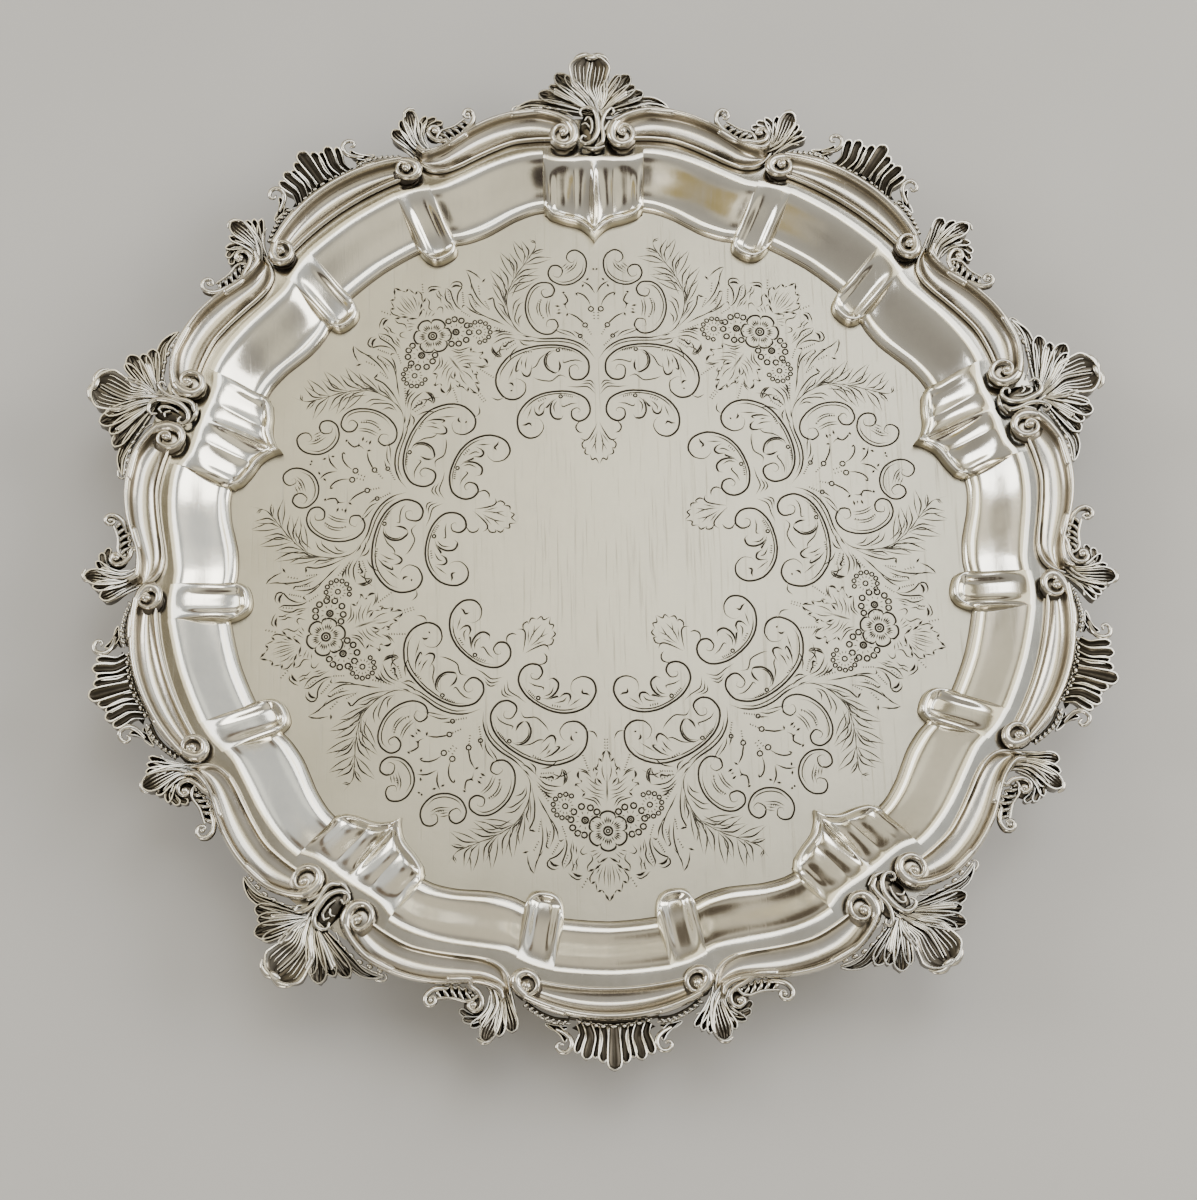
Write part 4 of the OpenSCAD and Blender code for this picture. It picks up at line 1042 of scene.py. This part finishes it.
def leaf(d):
    s = Shape()
    for path, half, z, flutes in d["lobes"]:
        ribs = [-0.75 + 1.5 * k / (flutes - 1) for k in range(flutes)] if flutes > 2 else ()
        s.petal(path, half, z, rim=0.48, dish=1.3, flutes=flutes, n=18, ribs=ribs)
    x, y = d["lobes"][-1][0][-1]
    s.rod([(x - 3, y - 1.4), (x - 1, y + 0.1), (x + 1.6, y - 0.2), (x + 3.2, y - 2)], 14,
          [0.5, 1.05, 1.05, 0.5], 7.3)
    for line, low, high in zip(d["ribs"], (3.2, 2.6, 2.4, 2.4), (8, 5.6, 4.8, 5)):
        s.rod(line, 26, [0.45, 0.7, 0.75, 0.65, 0.45], np.linspace(low, high, 5))
    # free crescent: a bright upper line, leaf teeth hanging from it, and a ring curl at its end
    top, teeth = curve(d["top"], 40), np.array(d["teeth"])
    s.tube(top[6:], [0.8, 0.7, 0.6, 0.6], 21, relief=0.9)

    def above(tooth, shift):
        """The upper line's point over a tooth, or a little to its right."""
        return top[8 + np.argmin(np.abs(top[8:, 0] - (tooth[0] + shift)))]

    for t in teeth:
        near = above(t, 2.3)
        line = curve([near, (near + t) / 2 + [-0.5, 0.1], t + [0.2, 0.3]], 10)
        s.tube(line, [0.65, 0.95, 0.55], [20.2, 20.4, 19.6], relief=0.85)
    zigzag = [teeth[0]]
    for last, t in zip(teeth, teeth[1:]):
        zigzag += [(last + t) / 2 + [0.3, 1.5], t]
    s.tube(resample(np.array(zigzag), 46), 0.5, 19.4)
    middle = [((above(t, 0) + t) / 2).tolist() for t in teeth]
    s.petal(middle, [1.2, 1.9, 2.1, 2, 1.5], [2.2, 2.4, 2.4, 2.4, 2.4], rim=0.3, dish=1, n=20, blunt=0.1)
    s.tube(curve(d["ring"], 44), [0.8, 1.15, 1.25, 1.2, 1.1, 1.05, 1, 0.85, 0.7, 0.6],
           [19.6, 20, 20.6, 21.2, 21.6, 21.8, 21.6, 21.4], sides=10)
    s.ball((*d["button"], 21.2), (1.1, 1.2, 1.3))
    # a low, dark rod under the ring curl: painted shade beneath it
    s.tube(curve(d["ring"][:5], 14), 0.9, 18, relief=0.5)
    return s


# The foot is drawn in millimetres from here, outward and up from the floor
FOOT_RADIUS = 148.75
STRAP = [(-8.5, 15.3), (-4.5, 16), (0, 15.6), (5, 14.6), (9.5, 13.3), (13.2, 11.4), (15.8, 8.8), (16.4, 6.2),
         (17, 3.8), (18.8, 2), (21.5, 1.6), (24, 2.4)]
STRAP_HALF = [3.4, 4.6, 5.4, 5.6, 5.4, 4.9, 4.3, 3.8, 3.7, 4.3, 4.8, 3.8]
STRAP_THICK = [0.9, 1.2, 1.5, 1.7, 1.8, 1.8, 1.7, 1.5, 1.5, 1.5, 1.3, 0.9]
COIL = [(12.4, 4.6), (14.4, 2.4), (17.4, 1.7), (20.5, 2.6), (21.8, 5.2), (20.4, 7.4), (17.9, 7.6), (16.6, 5.9),
        (17.6, 4.4), (18.9, 5)]
KNEE = [(-6.4, 14.4), (-3, 12.6), (0.4, 12.8), (2, 10.6), (0.6, 8.8), (-1.4, 9.6), (-1, 11)]
PAD_LEVELS = [(0.86, 0), (0.98, 0.25), (1, 0.8), (0.9, 1.5), (0.7, 2)]


def foot():
    """A scroll foot under the comb: a strap that comes off the plate, bows out and rolls onto a pad."""
    mm = 0.001 / U
    low = -PLATE_Z / U
    s = Shape()

    def to(r, h):
        return FOOT_RADIUS + r * mm, h * mm + low

    def rail(points, n, x, radius, sides):
        """A round rail along a line in the foot's side view, at distances x from its middle."""
        line = curve([to(*point) for point in points], n)
        s.tube(np.column_stack([x * np.ones(n), line]), np.array(radius) * mm, sides=sides)

    c = curve(np.array(STRAP) * mm, 46)
    half, thick = spread(STRAP_HALF, len(c))[:, None] * mm, spread(STRAP_THICK, len(c))[:, None] * mm
    nrm = left_of(c)
    a = np.linspace(0, 2 * math.pi, 28, endpoint=False)
    across = np.sign(np.cos(a)) * np.abs(np.cos(a)) ** 0.55
    ridges = 1 + 0.28 * np.cos(across * math.pi * 2.5) * (np.sin(a) > 0)
    out = np.sign(np.sin(a)) * np.abs(np.sin(a)) ** 0.6 * ridges
    y = FOOT_RADIUS + c[:, :1] + nrm[:, :1] * thick * out
    z = np.maximum(c[:, 1:] + nrm[:, 1:] * thick * out + low, low)
    # painted shade: the strap's upper face is bright, its under face dark
    s.rings(np.stack([half * across + 0 * y, y, z], -1), np.clip(0.55 + 0.35 * out, 0, 1)[None])
    for side in (-1, 1):
        rail(COIL, 40, side * 4.2 * mm, [0.7, 0.9, 1.1, 1.1, 1, 0.9, 0.8, 0.6], 8)
        rail(KNEE, 30, side * 3.6 * mm, [0.7, 0.95, 1, 0.9, 0.75, 0.6], 8)
    s.ball((0, *to(18.2, 4.4)), (4.6 * mm, 3.4 * mm, 3.0 * mm), relief=0.6, n=14)
    s.ball((0, *to(0.4, 11.2)), (3.9 * mm, 2.6 * mm, 2.4 * mm), relief=0.5, n=12)
    a = np.linspace(0, 2 * math.pi, 24, endpoint=False)
    outline = np.stack([np.cos(a) * 5.2, np.sin(a) * 4.3], 1) * mm
    centre = (0, to(20.2, 0)[0])
    s.rings(np.array([np.column_stack([outline * k + centre, 0 * a + h * mm + low]) for k, h in PAD_LEVELS]),
            0.6)
    for t in (np.arange(7) - 3) / 3:
        ray = [(12.6, 12.6), (9.6, 14.6 + 0.2 * (1 - t * t)), (5.6, 15.6 - 0.4 * t * t), (1.6, 16)]
        rail(ray, 14, t * np.linspace(1.2, 5.6 - 0.6 * abs(t), 14) * mm, [0.3, 0.6, 0.75, 0.6], 6)
    return s


# ---------------------------------------------------------------- building

ring, inner_edge = tray_ring()
body = to_mesh("tray_rim", np.vstack(ring.verts), np.vstack(ring.faces).tolist(), np.concatenate(ring.relief),
               sharp=62)
verts, faces, relief = engrave().mesh(inner_edge)
finder = kdtree.KDTree(len(verts))
for i, v in enumerate(verts):
    finder.insert((v[0], v[1], 0), i)
finder.balance()
edge = [finder.find((x, y, 0))[1] for x, y in inner_edge]
count, n = len(verts), len(edge)
verts += [(x, y, -SHEET) for x, y in inner_edge]
faces = [tuple(f) for f in faces]
faces += [(edge[i], edge[(i + 1) % n], count + (i + 1) % n, count + i) for i in range(n)]
faces.append(tuple(range(count, count + n)))
plate = to_mesh("tray_plate", verts, faces, relief + [PLATE_SHADE_AND_TARNISH] * (5 * n), smooth=False)
for name, mesh, kind in (("tray_bouge", body, "bouge"), ("tray_plate", plate, "plate")):
    mesh.materials.append(MATERIALS[kind])
    obj = bpy.data.objects.new(name, mesh)
    bpy.context.scene.collection.objects.link(obj)
    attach(obj, "root")
    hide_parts("tray_body")


def flipped(mesh, name):
    other = mesh.copy()
    other.name = name
    other.transform(Matrix.Scale(-1, 4, (1, 0, 0)))
    other.flip_normals()
    return other


FAR_RIGHT = [(-55.2, 199.4), (-51.4, 201.4), (-48.7, 204.4), (-49.2, 208.2), (-52.0, 209.6), (-54.4, 208.2),
             (-54.2, 206.2), (-52.9, 205.9)]
FAR_LEFT = [(-59.2, 198.9), (-56.2, 201.2), (-54.5, 204.8), (-55.2, 208.2), (-57.8, 209.2), (-60.0, 207.6),
            (-59.6, 205.8), (-58.4, 205.5)]
place("scroll_right", finished(scroll(FAR_RIGHT, (-52.6, 207.0)), "scroll_right"), "mould",
      0)
place("scroll_left", flipped(finished(scroll(FAR_LEFT, (-58.0, 206.8)), "one_scroll"), "scroll_left"), "mould",
      0)
place("bow", finished(bow(), "bow"), "mould", -SECTOR / 2)
place("shell", finished(shell(), "shell"), "cast", 0)
place("leaf_left", finished(leaf(LEAVES["left"]), "leaf_left"), "cast", -SECTOR / 2)
place("leaf_right", flipped(finished(leaf(LEAVES["right"]), "one_leaf"), "leaf_right"), "cast",
      -SECTOR / 2)
place("comb", finished(comb(), "comb"), "cast", -SECTOR / 2)
place("foot", finished(foot(), "foot"), "foot", -SECTOR / 2)


# ---------------------------------------------------------------- floor, light and camera

def floor():
    m, shader, add, plug = material("floor")
    where = add("ShaderNodeTexCoord").outputs["Object"]
    speck = add("ShaderNodeTexNoise", Vector=where, Scale=6.0, Detail=3.0).outputs["Fac"]
    plug(ramp(add, speck, [(0.3, (0.60, 0.585, 0.56)), (0.7, (0.64, 0.625, 0.60))]), "Base Color")
    shader.inputs["Roughness"].default_value = 0.75
    mesh = bpy.data.meshes.new("floor")
    r = 3.0
    mesh.from_pydata([(-r, -r, 0), (r, -r, 0), (r, r, 0), (-r, r, 0)], [], [(0, 1, 2, 3)])
    mesh.materials.append(m)
    obj = bpy.data.objects.new("floor", mesh)
    bpy.context.scene.collection.objects.link(obj)


def panel(name, at, aim, size, power, colour):
    light = bpy.data.lights.new(name, "AREA")
    light.shape, (light.size, light.size_y) = "RECTANGLE", size
    light.energy, light.color = power, colour
    obj = bpy.data.objects.new(name, light)
    obj.location = at
    obj.rotation_euler = (Vector(aim) - Vector(at)).to_track_quat("-Z", "Y").to_euler()
    bpy.context.scene.collection.objects.link(obj)


# soft bright and dark things round the room: which way, angles of the core and the rim, colour
ROOM = [((0, -0.95, 0.24), 24, 50, (1, 0.93, 0.76)), ((0.8, 0.58, 0.08), 20, 44, (0.76, 0.78, 0.79)),
        ((-0.72, 0.66, 0.08), 18, 44, (0.74, 0.69, 0.57)), ((0.05, 1, 0.05), 15, 36, (0.72, 0.66, 0.54)),
        ((0.42, 0.3, 0.86), 12, 32, (0.56, 0.58, 0.6)), ((-0.24, 0.46, 0.86), 13, 32, (0.26, 0.225, 0.15)),
        ((0.48, -0.58, 0.66), 9, 24, (0.85, 0.8, 0.66)), ((0.8, 0.25, 0.5), 9, 20, (1.15, 1.15, 1.12)),
        ((0.62, 0.62, 0.48), 5, 10, (1.15, 1.18, 1.15)), ((0.42, 0.8, 0.4), 4, 9, (0.14, 0.1, 0.07)),
        ((-0.6, 0.64, 0.48), 5, 10, (1, 0.95, 0.78)), ((-0.82, 0.42, 0.4), 4, 9, (0.12, 0.09, 0.06)),
        ((-0.42, -0.66, 0.62), 4, 8, (0.42, 0.33, 0.13)), ((-0.25, -0.86, 0.45), 4, 9, (0.1, 0.075, 0.05)),
        ((-0.75, 0.35, 0.55), 7, 18, (1.1, 1.02, 0.86)), ((0.05, -0.86, 0.5), 9, 15, (0.035, 0.025, 0.022)),
        ((0, -0.95, 0.31), 7, 11, (0.06, 0.04, 0.035)), ((0.55, -0.7, 0.3), 7, 13, (0.05, 0.035, 0.03)),
        ((-0.6, -0.66, 0.36), 6, 12, (0.06, 0.045, 0.035)), ((-0.2, 0.9, 0.25), 7, 14, (0.09, 0.07, 0.05)),
        ((-0.95, -0.1, 0.15), 6, 13, (0.08, 0.065, 0.05)), ((0.9, -0.35, 0.1), 5, 10, (0.07, 0.06, 0.055)),
        ((0.02, -0.6, 0.8), 6, 12, (0.06, 0.045, 0.04))]
# the room's own light from its horizon up, darker at mid height
ROOM_RISE = [(0.18, (0.46, 0.43, 0.38, 1)), (0.42, (0.30, 0.28, 0.25, 1)), (0.75, (0.40, 0.38, 0.34, 1))]

floor()
world = bpy.data.worlds.new("room")
bpy.context.scene.world = world
world.use_nodes = True
nodes, links = world.node_tree.nodes, world.node_tree.links
direction = nodes.new("ShaderNodeTexCoord").outputs["Generated"]
split = nodes.new("ShaderNodeSeparateXYZ")
links.new(direction, split.inputs[0])
rise = nodes.new("ShaderNodeValToRGB")
stops = rise.color_ramp.elements
stops[0].position, stops[0].color = 0.0, (0.34, 0.315, 0.275, 1)
stops[1].position, stops[1].color = 0.97, (0.47, 0.455, 0.42, 1)
for height, colour in ROOM_RISE:
    stops.new(height).color = colour
links.new(split.outputs["Z"], rise.inputs[0])
sky = rise.outputs[0]
for way, core, rim, colour in ROOM:
    near = nodes.new("ShaderNodeVectorMath")
    near.operation = "DOT_PRODUCT"
    near.inputs[1].default_value = Vector(way).normalized()
    links.new(direction, near.inputs[0])
    soft = nodes.new("ShaderNodeMapRange")
    soft.interpolation_type = "SMOOTHSTEP"
    links.new(near.outputs["Value"], soft.inputs["Value"])
    soft.inputs["From Min"].default_value = math.cos(math.radians(rim))
    soft.inputs["From Max"].default_value = math.cos(math.radians(core))
    blend = nodes.new("ShaderNodeMix")
    blend.data_type = "RGBA"
    links.new(soft.outputs["Result"], blend.inputs[0])
    links.new(sky, blend.inputs[6])
    blend.inputs[7].default_value = (*colour, 1)
    sky = blend.outputs[2]
links.new(sky, nodes["Background"].inputs["Color"])
# seen directly, the room is a plain pale backdrop
plain = nodes.new("ShaderNodeBackground")
plain.inputs["Color"].default_value = (0.52, 0.51, 0.49, 1)
seen = nodes.new("ShaderNodeLightPath")
either = nodes.new("ShaderNodeMixShader")
links.new(seen.outputs["Is Camera Ray"], either.inputs[0])
links.new(nodes["Background"].outputs[0], either.inputs[1])
links.new(plain.outputs[0], either.inputs[2])
links.new(either.outputs[0], nodes["World Output"].inputs["Surface"])

middle = (0, 0, PLATE_Z)
panel("window", (1.25, 0.15, 0.85), middle, (0.9, 0.8), 12, (1.0, 0.985, 0.95))
panel("far window", (-1.3, 0.35, 0.9), middle, (0.6, 0.7), 7, (0.95, 0.97, 1.0))
panel("warm ceiling", (-0.4, 0.8, 1.9), middle, (0.8, 1.2), 4.2, (1.0, 0.94, 0.76))
panel("cool ceiling", (0.4, 0.8, 1.9), middle, (0.8, 1.2), 9.0, (0.975, 0.99, 1.0))
panel("near", (-0.5, -1.4, 0.75), middle, (0.5, 0.4), 4, (1.0, 0.95, 0.88))

# the camera: its sensor and lens in millimetres, where the plate's middle sits before it in pattern
# units, across, up and away, and how it is turned, in radians
SENSOR, LENS = 36.0, 63.2892
OFFSET, DISTANCE = (1.345, 23.99), 957.565
TILT, YAW, ROLL = -0.302, 0.022, 0.016
facing = Matrix.Rotation(ROLL, 3, "Z") @ Matrix.Rotation(YAW, 3, "Y") @ Matrix.Rotation(TILT, 3, "X")
facing.transpose()
camera = bpy.data.cameras.new("camera")
camera.sensor_width, camera.lens = SENSOR, LENS
camera.clip_start, camera.clip_end = 0.01, 20
eye = bpy.data.objects.new("camera", camera)
spot = -(facing @ Vector((*OFFSET, -DISTANCE))) * U + Vector(middle)
eye.matrix_world = Matrix.Translation(spot) @ facing.to_4x4()
bpy.context.scene.collection.objects.link(eye)
bpy.context.scene.camera = eye
